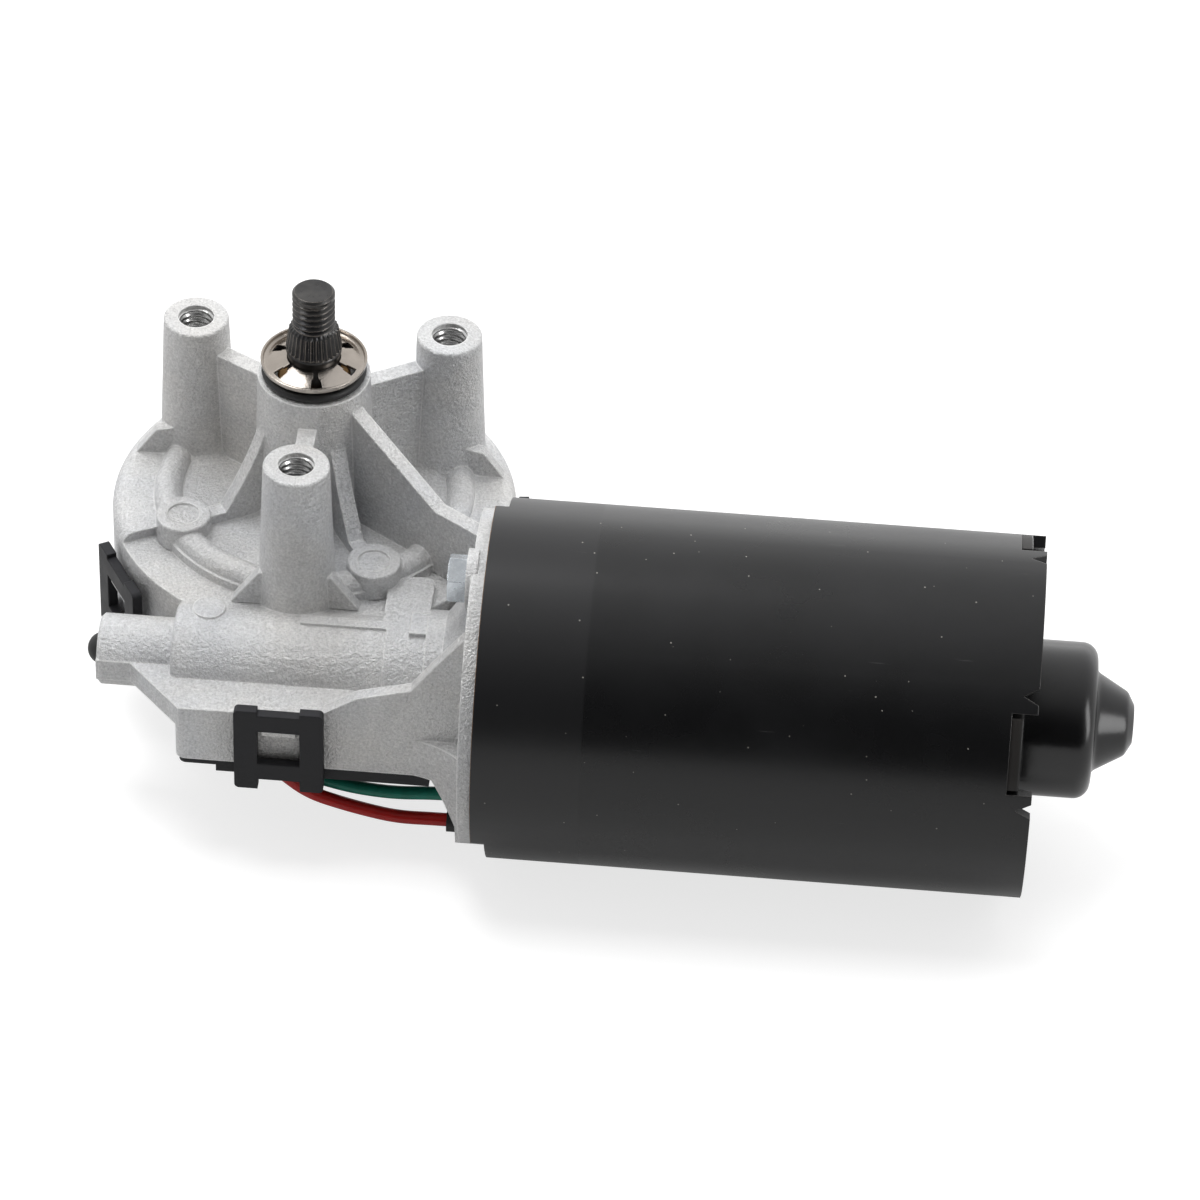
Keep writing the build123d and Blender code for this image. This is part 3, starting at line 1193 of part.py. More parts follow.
def make_bottom_cover():
    """Moulded cover: rim on the seal, deeper pan, snap clips, plug socket and lead outlet."""
    rim = Pos(0, 0, SEAT_Z - COVER_RIM_T) * extrude(seat_outline(COVER_RIM_INSET), COVER_RIM_T)
    pan = Pos(0, 0, SEAT_Z - COVER_PAN_DEPTH) * extrude(seat_outline(COVER_PAN_INSET), COVER_PAN_DEPTH)
    hollow_top = seat_outline(COVER_PAN_INSET + COVER_WALL)
    front = APRON_Y + COVER_RIM_INSET
    back = APRON_Y + COVER_PAN_INSET + COVER_WALL
    step = block(FRONT_STEP_X0, APRON_X1 - COVER_RIM_INSET, front, back, SEAT_Z - COVER_PAN_DEPTH, SEAT_Z)
    step = chamfer(step.edges().filter_by(Axis.Y).sort_by(Axis.X)[0:1], COVER_RIM_T)
    cover = rim + pan + step
    cover -= Pos(0, 0, SEAT_Z - COVER_PAN_DEPTH + COVER_WALL) * extrude(hollow_top, COVER_PAN_DEPTH)
    cover += clip_frame(-APRON_Y, 270, CLIP_W)
    for angle, width in SIDE_CLIPS:
        cover += clip_frame(CASE_R, angle, width)
    socket_top = SEAT_Z - COVER_PAN_DEPTH + 0.5
    socket_low = socket_top - SOCKET_H
    half_w, half_d = SOCKET_W / 2, SOCKET_D / 2
    socket = block(-half_w, half_w, -half_d, half_d, socket_low, socket_top)
    socket = fillet(socket.edges().filter_by(Axis.Z), 1.5)
    socket -= block(SOCKET_WALL - half_w, half_w - SOCKET_WALL, SOCKET_WALL - half_d, half_d - SOCKET_WALL,
                    socket_low - 1, socket_top - SOCKET_FLOOR)
    cover += Pos(SOCKET_X, SOCKET_Y, 0) * socket
    pan_low = SEAT_Z - COVER_PAN_DEPTH
    hood = block(HOOD_X0, HOOD_X1, APRON_Y + 2.6, APRON_Y + 10.4, pan_low - HOOD_DROP, pan_low + 0.5)
    hood = fillet(hood.edges().filter_by(Axis.X).sort_by(Axis.Z)[:2], 1.0)
    cover += hood
    for _, y, z in (RED_ROUTE[0], GREEN_ROUTE[0]):
        cover -= rod_x(LEAD_R, HOOD_X0 + 2, HOOD_X1 + 1, y, z)
    cover -= rod_x(SPIGOT_R + RUN_GAP, FLANGE_X - RUN_GAP, MOTOR_FACE_X)
    for x in blade_places():
        cover -= block(x - BLADE_W / 2, x + BLADE_W / 2, SOCKET_Y - BLADE_T / 2, SOCKET_Y + BLADE_T / 2,
                       socket_low - 1, SEAT_Z)
    return biggest(cover)


def blade_places():
    first = SOCKET_X - BLADE_PITCH * (BLADE_COUNT - 1) / 2
    return [first + i * BLADE_PITCH for i in range(BLADE_COUNT)]


def make_blades():
    """Brass blade terminals through the floor of the cover into the socket."""
    top = SEAT_Z - COVER_PAN_DEPTH + COVER_WALL
    blades = []
    for x in blade_places():
        blade = block(x - BLADE_W / 2, x + BLADE_W / 2, SOCKET_Y - BLADE_T / 2, SOCKET_Y + BLADE_T / 2,
                      top - COVER_WALL - BLADE_H, top)
        blades.append(chamfer(blade.edges().sort_by(Axis.Z)[0:1] + blade.edges().sort_by(Axis.Z)[1:2], 0.2))
    return group(blades)


def make_contact_springs():
    """Leaf springs that ride on the tracks of the park disc."""
    floor = SEAT_Z - COVER_PAN_DEPTH + COVER_WALL
    touch = WORM_Z - WHEEL_FACE / 2 - CONTACT_DISC_T - RUN_GAP
    t = CONTACT_SPRING_T
    springs = []
    for radius in CONTACT_SPRING_RADII:
        y0 = radius - CONTACT_SPRING_W / 2
        side = Plane.XZ * make_face(
            Polyline((-6.0, floor), (8.0, floor), (8.0, floor + t), (5.5, floor + t), (0.6, touch),
                     (-0.6, touch), (-1.2, touch - 1.0), (-0.9, touch - 1.1), (-0.4, touch - t),
                     (0.4, touch - t), (5.2, floor + t), (-6.0, floor + t), close=True)
        )
        leaf = Pos(0, y0 + CONTACT_SPRING_W, 0) * extrude(side, CONTACT_SPRING_W)
        springs.append(Rot(0, 0, -90) * leaf)
    return group(springs)


# ---------------------------------------------------------------- motor leads
def lead_tube(route):
    """Insulated lead as straight runs with large tangent arcs."""
    points = [Vector(*p) for p in route]
    radii = []
    for before, here, after in zip(points, points[1:], points[2:]):
        turn = math.radians((here - before).get_angle(after - here))
        run = min((here - before).length, (after - here).length)
        radii.append(0.45 * run / math.tan(turn / 2))
    path = FilletPolyline(*points, radius=radii)
    section = Plane(origin=path @ 0, z_dir=path % 0) * Circle(LEAD_R)
    return sweep(section, path=path)


def make_grommet(route):
    """Black rubber sleeve where a lead enters the flange."""
    _, y, z = route[-1]
    sleeve = rod_x(GROMMET_R, GROMMET_X0, MOTOR_FACE_X + PLATE_T, y, z)
    return sleeve - rod_x(LEAD_R, GROMMET_X0 - 1, MOTOR_FACE_X + PLATE_T + 1, y, z)


# ---------------------------------------------------------------- the nodes
NODES = {
    "gear_housing": make_gear_housing(),
    "upper_output_bush": make_output_bush(-TOWER_TOP_DROP - 0.6, OUT_BUSH_UPPER_L),
    "lower_output_bush": make_output_bush(LOWER_BUSH_Z + OUT_BUSH_LOWER_L, OUT_BUSH_LOWER_L),
    "worm_end_bush": make_worm_end_bush(),
    "thrust_pad": make_thrust_pad(),
    "adjuster_screw": make_adjuster_screw(),
    "tube_end_plug": make_end_plug(),
    "shaft_o_ring": make_oring(),
    "cover_seal": make_cover_seal(),
    "output_shaft": make_output_shaft(),
    "star_washer": make_star_washer(),
    "thrust_shim": make_shim(),
    "worm_wheel": make_worm_wheel(),
    "park_contact_disc": make_contact_disc(),
    "armature_shaft": make_armature_shaft(),
    "armature_core": make_armature_core(),
    "armature_winding": make_windings(),
    "commutator": make_commutator(),
    "commutator_hub": make_commutator_hub(),
    "bearing_outer_ring": make_bearing_outer(),
    "bearing_inner_ring": make_bearing_inner(),
    "bearing_balls": make_bearing_balls(),
    "motor_can": make_motor_can(),
    "end_cap": make_end_cap(),
    "end_cap_bush": make_cap_bush(),
    "felt_ring": make_felt_ring(),
    "bush_retainer": make_bush_retainer(),
    "field_magnets": make_magnets(),
    "magnet_springs": make_magnet_springs(),
    "motor_front_plate": make_front_plate(),
    "brush_plate": make_brush_plate(),
    "brush_boxes": make_brush_boxes(),
    "carbon_brushes": make_brushes(),
    "brush_springs": make_brush_springs(),
    "flange_bolts": make_flange_bolts(),
    "bottom_cover": make_bottom_cover(),
    "blade_terminals": make_blades(),
    "contact_springs": make_contact_springs(),
    "red_lead": lead_tube(RED_ROUTE),
    "green_lead": lead_tube(GREEN_ROUTE),
    "red_grommet": make_grommet(RED_ROUTE),
    "green_grommet": make_grommet(GREEN_ROUTE),
}

for node, shape in NODES.items():
    export_step(shape, f"parts/{node}.step")
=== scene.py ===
import bpy
import bmesh
import json
import math
from mathutils import Matrix, Vector


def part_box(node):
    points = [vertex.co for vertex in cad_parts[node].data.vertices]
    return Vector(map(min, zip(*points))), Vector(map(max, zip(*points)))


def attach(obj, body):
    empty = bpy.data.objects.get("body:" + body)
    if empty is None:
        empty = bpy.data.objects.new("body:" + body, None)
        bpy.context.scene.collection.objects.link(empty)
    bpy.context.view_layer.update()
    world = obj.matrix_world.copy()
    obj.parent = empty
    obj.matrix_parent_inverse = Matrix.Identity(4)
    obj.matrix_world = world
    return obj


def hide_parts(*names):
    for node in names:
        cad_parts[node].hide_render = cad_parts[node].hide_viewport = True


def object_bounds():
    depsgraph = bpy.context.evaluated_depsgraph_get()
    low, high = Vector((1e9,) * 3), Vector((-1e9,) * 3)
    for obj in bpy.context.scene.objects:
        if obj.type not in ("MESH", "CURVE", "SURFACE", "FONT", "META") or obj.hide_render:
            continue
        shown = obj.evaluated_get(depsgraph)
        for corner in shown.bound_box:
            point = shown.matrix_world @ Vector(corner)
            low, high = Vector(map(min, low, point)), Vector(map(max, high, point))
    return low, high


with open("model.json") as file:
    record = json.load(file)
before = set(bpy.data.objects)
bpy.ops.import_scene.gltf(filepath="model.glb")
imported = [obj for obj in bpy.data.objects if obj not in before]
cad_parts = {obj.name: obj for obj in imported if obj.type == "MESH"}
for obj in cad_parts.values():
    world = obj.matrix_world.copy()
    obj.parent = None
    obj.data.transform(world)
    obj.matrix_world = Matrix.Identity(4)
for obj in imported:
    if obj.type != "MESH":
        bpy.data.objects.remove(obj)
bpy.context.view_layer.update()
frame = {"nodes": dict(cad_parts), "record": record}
NODES = frame["nodes"]
MM = 0.001


# ---------------------------------------------------------------- sizes in millimetres
SHAFT_R = 5.0
SHAFT_TOP = 18.7
FOOT_CHAMFER = 0.5
TIP_CHAMFER = 0.45
SEAT_START = 1.9
SEAT_END = 3.2
COLLAR = ((4.75, 3.6), (4.95, 4.4), (5.12, 5.0), (5.16, 5.55))
KNURL_START = 5.9
KNURL_END = 10.3
KNURL_BOTTOM_R = 5.25
KNURL_TOP_R = 4.6
KNURL_COUNT = 30
KNURL_DEPTH = 0.5
KNURL_RINGS = 10
RUNOUT = ((3.95, 10.75), (3.75, 11.0))
THREAD_R = 3.95
THREAD_ROOT_R = 3.3
THREAD_PITCH = 1.25
THREAD_START = 11.2
THREAD_END = 17.7
THREAD_LEAD_IN = 0.5
THREAD_LEAD_OUT = 0.4
THREAD_STEPS = 12
SHAFT_SEGMENTS = 300

BOSS_CIRCLE_R = 27.5
BOSS_ANGLES = (30.0, 150.0, 270.0)
BOSS_HOLE_R = 3.35
RING_FOOT = -12.0
RING_TOP = -0.75
RING_ROOT = 0.25
RING_DEPTH = 0.42
RING_CUT = 0.40
RING_STEPS = 10
RING_SEGMENTS = 96

WASHER_T = 0.42
WASHER_SEGMENTS = 144
DISH = ((5.0, 3.6), (5.2, 3.54))
LIP = ((8.7, 2.40), (9.0, 2.38), (9.25, 2.46), (9.4, 2.62), (9.45, 2.85), (9.45, 3.15), (9.48, 3.3))
SLOT_ANGLE = -80.0
SLOT_SPACING = 60.0
SLOT_HALF_ANGLE = 5.0
SLOT_FOOT_HALF_ANGLE = 7.5
SLOT_FOOT_R = 6.4
SLOT_END_R = 8.3

# ---------------------------------------------------------------- places and tones of the finishes, in metres
CAP_T = 0.0021
TAPE_LINE = 0.0558
RIM_START = 0.0003
RIM_END = 0.0005

# ---------------------------------------------------------------- the studio
ROOM_LIGHT = 1.6
ROOM_TILT = 16.0
ROOM_TONES = ((0.0, 1.0), (0.12, 0.72), (0.26, 0.59), (0.43, 0.50), (0.59, 0.375), (0.72, 0.31),
              (0.835, 0.21), (0.924, 0.08), (0.98, 0.02))
FLOOR_SIZE = 8.0
FLOOR_DROP = 0.0005
FLOOR_GREY = 0.38
FLOOR_GLOW = 0.75
GLOSS_NEAR = 0.32
GLOSS_FAR = 1.0
GLOSS_REACH = 0.7
CAMERA_PLACE = (0.1066, -0.8649, 0.6925)
CAMERA_AZIMUTH = 3.45
CAMERA_ELEVATION = 40.62
CAMERA_ROLL = 1.96
CAMERA_LENS = 180.0
MIDDLE = (0.05, -0.03, -0.03)
TOWER_TOP = (0.0, 0.0, 0.0)


# ---------------------------------------------------------------- material building
def material(name, color, roughness, metallic=0.0, coat=0.0, coat_roughness=0.1, specular=0.5):
    """A new material with its plain values on the shader's own sockets."""
    mat = bpy.data.materials.new(name)
    mat.use_nodes = True
    nodes = mat.node_tree.nodes
    shader = nodes["Principled BSDF"]
    shader.inputs["Base Color"].default_value = (*color, 1.0)
    shader.inputs["Roughness"].default_value = roughness
    shader.inputs["Metallic"].default_value = metallic
    shader.inputs["Coat Weight"].default_value = coat
    shader.inputs["Coat Roughness"].default_value = coat_roughness
    shader.inputs["Specular IOR Level"].default_value = specular
    return mat


def object_place(mat, scale=(1.0, 1.0, 1.0), turn=(0.0, 0.0, 0.0)):
    """Object coordinates, scaled in metres."""
    nodes, links = mat.node_tree.nodes, mat.node_tree.links
    where = nodes.new("ShaderNodeTexCoord")
    mapping = nodes.new("ShaderNodeMapping")
    mapping.inputs["Scale"].default_value = scale
    mapping.inputs["Rotation"].default_value = turn
    links.new(where.outputs["Object"], mapping.inputs["Vector"])
    return mapping.outputs["Vector"]


def grain(mat, place, scale, detail=4.0, rough=0.6, distortion=0.0):
    """A noise pattern's value."""
    noise = mat.node_tree.nodes.new("ShaderNodeTexNoise")
    noise.inputs["Scale"].default_value = scale
    noise.inputs["Detail"].default_value = detail
    noise.inputs["Roughness"].default_value = rough
    noise.inputs["Distortion"].default_value = distortion
    mat.node_tree.links.new(place, noise.inputs["Vector"])
    return noise.outputs["Fac"]


def ramp(mat, value, stops):
    """A colour ramp over a value, from (position, grey or colour) stops."""
    node = mat.node_tree.nodes.new("ShaderNodeValToRGB")
    elements = node.color_ramp.elements
    while len(elements) < len(stops):
        elements.new(0.5)
    for element, (position, color) in zip(elements, stops):
        element.position = position
        if isinstance(color, float):
            color = (color, color, color)
        element.color = (*color, 1.0)
    mat.node_tree.links.new(value, node.inputs["Fac"])
    return node.outputs["Color"]


def mixed(mat, first, second, factor, blend="MIX"):
    """Two colours mixed; the factor is a number or a pattern."""
    node = mat.node_tree.nodes.new("ShaderNodeMix")
    node.data_type = "RGBA"
    node.blend_type = blend
    links = mat.node_tree.links
    for socket, given in ((node.inputs[0], factor), (node.inputs[6], first), (node.inputs[7], second)):
        if isinstance(given, bpy.types.NodeSocket):
            links.new(given, socket)
        elif isinstance(given, float):
            socket.default_value = given
        else:
            socket.default_value = (*given, 1.0)
    return node.outputs[2]


def colour_from(mat, color):
    """Joins a pattern to the base colour."""
    mat.node_tree.links.new(color, mat.node_tree.nodes["Principled BSDF"].inputs["Base Color"])


def roughness_from(mat, value):
    """Joins a pattern to the roughness."""
    mat.node_tree.links.new(value, mat.node_tree.nodes["Principled BSDF"].inputs["Roughness"])


def relief(mat, heights, soften=0.0):
    """Bumps from (pattern, depth in metres) pairs, over edges softened by a radius in metres."""
    nodes, links = mat.node_tree.nodes, mat.node_tree.links
    normal = None
    if soften:
        edge = nodes.new("ShaderNodeBevel")
        edge.samples = 6
        edge.inputs["Radius"].default_value = soften
        normal = edge.outputs["Normal"]
    for height, depth in heights:
        bump = nodes.new("ShaderNodeBump")
        bump.inputs["Strength"].default_value = 1.0
        bump.inputs["Distance"].default_value = depth
        links.new(height, bump.inputs["Height"])
        if normal:
            links.new(normal, bump.inputs["Normal"])
        normal = bump.outputs["Normal"]
    links.new(normal, nodes["Principled BSDF"].inputs["Normal"])


# ---------------------------------------------------------------- finishes
def worn_and_highlit_edges(mat, radius, low, high):
    """A mask that is white on sharp edges, convex and concave alike, from how far an edge-softened normal
    leans off the face; the materials use it both for wear and for painted edge highlights.
    """
    nodes, links = mat.node_tree.nodes, mat.node_tree.links
    edge = nodes.new("ShaderNodeBevel")
    edge.samples = 6
    edge.inputs["Radius"].default_value = radius
    face = nodes.new("ShaderNodeNewGeometry")
    lean = nodes.new("ShaderNodeVectorMath")
    lean.operation = "DOT_PRODUCT"
    links.new(edge.outputs["Normal"], lean.inputs[0])
    links.new(face.outputs["Normal"], lean.inputs[1])
    return ramp(mat, lean.outputs["Value"], ((low, 1.0), (high, 0.0)))


def band(mat, axis, start, end):
    """A mask that rises from 0 to 1 between two places along X, Y or Z, in metres."""
    nodes, links = mat.node_tree.nodes, mat.node_tree.links
    split = nodes.new("ShaderNodeSeparateXYZ")
    links.new(object_place(mat), split.inputs[0])
    span = nodes.new("ShaderNodeMapRange")
    span.inputs["From Min"].default_value = start
    span.inputs["From Max"].default_value = end
    links.new(split.outputs[axis], span.inputs["Value"])
    return span.outputs["Result"]


def sparse_specks(mat, place, cell, size, share):
    """A mask with a round speck, size times the cell, in a share of the cells."""
    cells = mat.node_tree.nodes.new("ShaderNodeTexVoronoi")
    cells.inputs["Scale"].default_value = 1.0 / cell
    mat.node_tree.links.new(place, cells.inputs["Vector"])
    spot = ramp(mat, cells.outputs["Distance"], ((size, 1.0), (size * 1.6, 0.0)))
    chosen = ramp(mat, cells.outputs["Color"], ((1.0 - share, 0.0), (1.0 - share + 0.01, 1.0)))
    return mixed(mat, spot, chosen, 1.0, "MULTIPLY")


def die_casting():
    """Shot-blasted die-cast aluminium: pale grey, sparkling grain, faint stains, and near-white edges and
    roots that are partly worn metal and partly a painted highlight.
    """
    mat = material("shot_blasted_casting", (0.7, 0.7, 0.7), 0.5, metallic=0.6)
    place = object_place(mat)
    specks = grain(mat, place, 1900.0, detail=2.5, rough=0.8)
    pits = grain(mat, place, 850.0, detail=3.0, rough=0.6)
    patches = grain(mat, place, 60.0, detail=5.0, rough=0.65, distortion=0.8)
    tints = grain(mat, place, 38.0, detail=3.0, rough=0.5, distortion=0.5)
    base = ramp(mat, patches,
                ((0.28, (0.63, 0.63, 0.635)), (0.5, (0.70, 0.70, 0.70)), (0.72, (0.76, 0.757, 0.752))))
    tint = ramp(mat, tints,
                ((0.35, (0.98, 0.99, 1.01)), (0.5, (1.0, 1.0, 1.0)), (0.68, (1.01, 0.995, 0.975))))
    speckle = ramp(mat, specks, ((0.28, 0.68), (0.5, 0.98), (0.74, 1.36)))
    grainy = mixed(mat, mixed(mat, base, tint, 1.0, "MULTIPLY"), speckle, 0.75, "MULTIPLY")
    # painted highlight: ridges and the roots of ribs and bosses are lightened to near white, standing for the
    # glint of rounded edges as well as for worn metal
    colour_from(mat, mixed(mat, grainy, (1.0, 1.0, 0.99), worn_and_highlit_edges(mat, 0.0006, 0.84, 0.98)))
    roughness_from(mat, ramp(mat, specks, ((0.3, 0.36), (0.7, 0.50))))
    relief(mat, ((specks, 0.00040), (pits, 0.00030), (patches, 0.00010)), soften=0.0006)
    return mat


def can_paint():
    """Satin black can paint: dust specks, fine scratches, a rusty front rim, a faint tape line, and grey
    edges that are partly wear and partly a painted edge highlight.
    """
    mat = material("satin_can_paint", (0.006, 0.006, 0.0065), 0.3)
    place = object_place(mat)
    peel = grain(mat, place, 420.0, detail=2.0)
    haze = grain(mat, place, 35.0, detail=4.0, rough=0.6)
    drawn_out = object_place(mat, (90.0, 1500.0, 1500.0), (0.0, 0.3, 0.5))
    scratches = grain(mat, drawn_out, 1.0, detail=3.0, rough=0.5)
    paint = ramp(mat, haze, ((0.35, (0.0045, 0.0046, 0.005)), (0.7, (0.0075, 0.0076, 0.0085))))
    tape = band(mat, "X", TAPE_LINE + 0.0004, TAPE_LINE)
    hazy = mixed(mat, paint, (0.012, 0.012, 0.013), ramp(mat, tape, ((0.0, 0.0), (1.0, 0.7))))
    dusty = mixed(mat, hazy, (0.24, 0.23, 0.21), sparse_specks(mat, place, 0.0035, 0.032, 0.9))
    scratched = mixed(mat, dusty, (0.05, 0.05, 0.05), ramp(mat, scratches, ((0.74, 0.0), (0.78, 0.6))))
    low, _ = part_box("motor_can")
    rim = band(mat, "X", low.x + RIM_END, low.x + RIM_START)
    # painted highlight: the can's edges and slot edges are lightened to grey, partly for wear and partly for
    # the light line a rounded edge catches; the rust on the front rim is real
    edges = worn_and_highlit_edges(mat, 0.00035, 0.74, 0.90)
    worn_and_highlit = mixed(mat, scratched, (0.10, 0.095, 0.09), edges)
    rusty = mixed(mat, edges, rim, 1.0, "MULTIPLY")
    colour_from(mat, mixed(mat, worn_and_highlit, (0.40, 0.22, 0.11), rusty))
    satin = ramp(mat, haze, ((0.35, 0.26), (0.65, 0.31)))
    roughness_from(mat, mixed(mat, satin, (0.38, 0.38, 0.38), ramp(mat, tape, ((0.0, 0.0), (1.0, 0.4)))))
    relief(mat, ((peel, 0.000010),), soften=0.0003)
    return mat


def cap_paint():
    """Glossy black cap paint with a slight orange peel, dull and rusty where the ears sit in the slots."""
    mat = material("gloss_cap_paint", (0.006, 0.006, 0.0065), 0.18, coat=0.2, coat_roughness=0.14)
    place = object_place(mat)
    peel = grain(mat, place, 420.0, detail=2.0)
    haze = grain(mat, place, 60.0, detail=3.0)
    paint = ramp(mat, haze, ((0.35, (0.005, 0.005, 0.0055)), (0.7, (0.009, 0.009, 0.010))))
    worn = mixed(mat, paint, (0.10, 0.09, 0.08), worn_and_highlit_edges(mat, 0.00025, 0.70, 0.88))
    low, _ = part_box("end_cap")
    ear = band(mat, "X", low.x + CAP_T - 0.0001, low.x + CAP_T - 0.0003)
    colour_from(mat, mixed(mat, worn, (0.006, 0.0045, 0.0035), ear))
    smooth = ramp(mat, haze, ((0.3, 0.17), (0.7, 0.24)))
    roughness_from(mat, mixed(mat, smooth, (0.75, 0.75, 0.75), ear))
    relief(mat, ((peel, 0.00002),), soften=0.0012)
    return mat


def black_moulding():
    """Matte black moulded plastic."""
    mat = material("black_moulding", (0.014, 0.014, 0.016), 0.5, specular=0.3)
    place = object_place(mat)
    pores = grain(mat, place, 1200.0, detail=3.0)
    haze = grain(mat, place, 120.0, detail=4.0)
    colour_from(mat, ramp(mat, haze, ((0.3, (0.013, 0.013, 0.015)), (0.75, (0.023, 0.023, 0.026)))))
    roughness_from(mat, ramp(mat, haze, ((0.3, 0.42), (0.7, 0.6))))
    relief(mat, ((pores, 0.00003),), soften=0.0004)
    return mat


def metal(name, dark, light, roughness, scale=400.0, bump=0.00002, soften=0.0002, metallic=1.0):
    """Bare or plated metal with a fine two-tone grain."""
    mat = material(name, light, roughness, metallic=metallic)
    place = object_place(mat)
    fine = grain(mat, place, scale, detail=5.0, rough=0.65)
    broad = grain(mat, place, scale * 0.12, detail=3.0)
    tone = ramp(mat, broad, ((0.35, dark), (0.65, light)))
    speckle = ramp(mat, fine, ((0.3, 0.8), (0.65, 1.0)))
    colour_from(mat, mixed(mat, tone, speckle, 0.6, "MULTIPLY"))
    roughness_from(mat, ramp(mat, fine, ((0.3, roughness * 0.75), (0.7, roughness * 1.25))))
    relief(mat, ((fine, bump),), soften=soften)
    return mat


def black_oxide():
    """Blackened steel with its crests and edges lightened to grey-brown, partly bare worn steel and partly a
    painted highlight on the knurl and thread crests.
    """
    mat = metal("black_oxide", (0.06, 0.06, 0.062), (0.12, 0.117, 0.113), 0.34, 900.0)
    blackened = mat.node_tree.nodes["Principled BSDF"].inputs["Base Color"].links[0].from_socket
    # painted highlight: knurl teeth and thread crests are lightened to grey-brown, partly bare worn steel and
    # partly standing for crest highlights
    colour_from(mat, mixed(mat, blackened, (0.36, 0.32, 0.28), worn_and_highlit_edges(mat, 0.00022, 0.86, 0.97)))
    return mat


def soft_plastic(name, dark, light, roughness=0.4, scale=300.0, bump=0.00002):
    """Plain coloured plastic, rubber or insulation with slight mottling."""
    mat = material(name, light, roughness)
    place = object_place(mat)
    mottle = grain(mat, place, scale, detail=4.0)
    colour_from(mat, ramp(mat, mottle, ((0.3, dark), (0.7, light))))
    roughness_from(mat, ramp(mat, mottle, ((0.3, roughness * 0.85), (0.7, roughness * 1.2))))
    relief(mat, ((mottle, bump),), soften=0.0002)
    return mat


FINISHES = {
    "die_cast_aluminium": die_casting(),
    "black_paint": can_paint(),
    "gloss_black_paint": cap_paint(),
    "black_plastic": black_moulding(),
    "black_oxide_steel": black_oxide(),
    "stainless_steel": metal("polished_spring_steel", (0.36, 0.32, 0.28), (0.58, 0.53, 0.48), 0.2, 260.0,
                             0.00008),
    "black_rubber": soft_plastic("black_rubber", (0.010, 0.010, 0.010), (0.022, 0.022, 0.022), 0.5, 500.0),
    "zinc_steel": metal("blue_zinc", (0.78, 0.84, 0.90), (0.90, 0.94, 0.98), 0.26, 500.0),
    "red_insulation": soft_plastic("red_insulation", (0.50, 0.006, 0.004), (0.62, 0.010, 0.006), 0.4),
    "green_insulation": soft_plastic("green_insulation", (0.004, 0.17, 0.115), (0.008, 0.26, 0.18), 0.4),
    "sintered_bronze": metal("sintered_bronze", (0.40, 0.24, 0.11), (0.56, 0.36, 0.18), 0.45, 1200.0,
                             0.00004),
    "bright_steel": metal("ground_steel", (0.62, 0.62, 0.62), (0.80, 0.80, 0.79), 0.22, 300.0, 0.000005),
    "white_acetal": soft_plastic("white_acetal", (0.74, 0.73, 0.68), (0.82, 0.81, 0.77), 0.35),
    "copper": metal("bare_copper", (0.62, 0.27, 0.14), (0.78, 0.38, 0.22), 0.28),
    "lamination_steel": metal("stacked_laminations", (0.16, 0.16, 0.17), (0.26, 0.26, 0.27), 0.45),
    "enamelled_copper": metal("enamelled_wire", (0.35, 0.10, 0.03), (0.55, 0.18, 0.06), 0.3, 700.0, 0.00006),
    "brown_phenolic": soft_plastic("brown_phenolic", (0.10, 0.045, 0.02), (0.17, 0.08, 0.04), 0.4),
    "felt": soft_plastic("oiled_felt", (0.38, 0.36, 0.31), (0.50, 0.48, 0.42), 0.9, 1500.0, 0.0002),
    "ferrite": metal("ferrite", (0.05, 0.05, 0.053), (0.09, 0.09, 0.095), 0.6, 600.0, metallic=0.3),
    "brass": metal("rolled_brass", (0.60, 0.42, 0.16), (0.76, 0.58, 0.27), 0.28),
    "carbon": soft_plastic("copper_graphite", (0.035, 0.03, 0.028), (0.06, 0.05, 0.045), 0.5),
}


def set_finish(piece, finish):
    """Gives a piece one finish on every slot."""
    if not piece.material_slots:
        piece.data.materials.append(finish)
    for slot in piece.material_slots:
        slot.material = finish


for part in frame["record"]["subparts"]:
    set_finish(NODES[part["node"]], FINISHES[part["material_slot"]])


# ---------------------------------------------------------------- new pieces
def finished(mesh_work, name, slot, body, smooth=0.6):
    """Makes an object of a bmesh in millimetres, with its finish, its body and smooth faces."""
    bmesh.ops.transform(mesh_work, matrix=Matrix.Scale(MM, 4), verts=mesh_work.verts)
    for face in mesh_work.faces:
        face.smooth = True
    for edge in mesh_work.edges:
        if len(edge.link_faces) == 2 and edge.calc_face_angle(0.0) > smooth:
            edge.smooth = False
    mesh = bpy.data.meshes.new(name)
    mesh_work.to_mesh(mesh)
    mesh_work.free()
    piece = bpy.data.objects.new(name, mesh)
    bpy.context.scene.collection.objects.link(piece)
    piece.data.materials.append(FINISHES[slot])
    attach(piece, body)
    return piece


def spun(points, segments):
    """A bmesh shell turned about Z from (radius, height) points."""
    work = bmesh.new()
    ring = [work.verts.new((radius, 0.0, height)) for radius, height in points]
    edges = [work.edges.new(pair) for pair in zip(ring, ring[1:])]
    bmesh.ops.spin(work, geom=ring + edges, cent=(0, 0, 0), axis=(0, 0, 1), angle=2 * math.pi, steps=segments,
                   use_merge=True)
    bmesh.ops.remove_doubles(work, verts=work.verts, dist=0.0005)
    bmesh.ops.recalc_face_normals(work, faces=work.faces)
    return work


def thread_depth(angle, height, fade):
    """How far a 60 degree thread is cut in at a place, from 0 at the crest to 1 at the root."""
    phase = (height / THREAD_PITCH - angle / (2 * math.pi)) % 1.0
    flank = abs(phase - 0.5) * 2
    return min(1.0, max(0.0, (0.92 - flank) / 0.72)) * fade


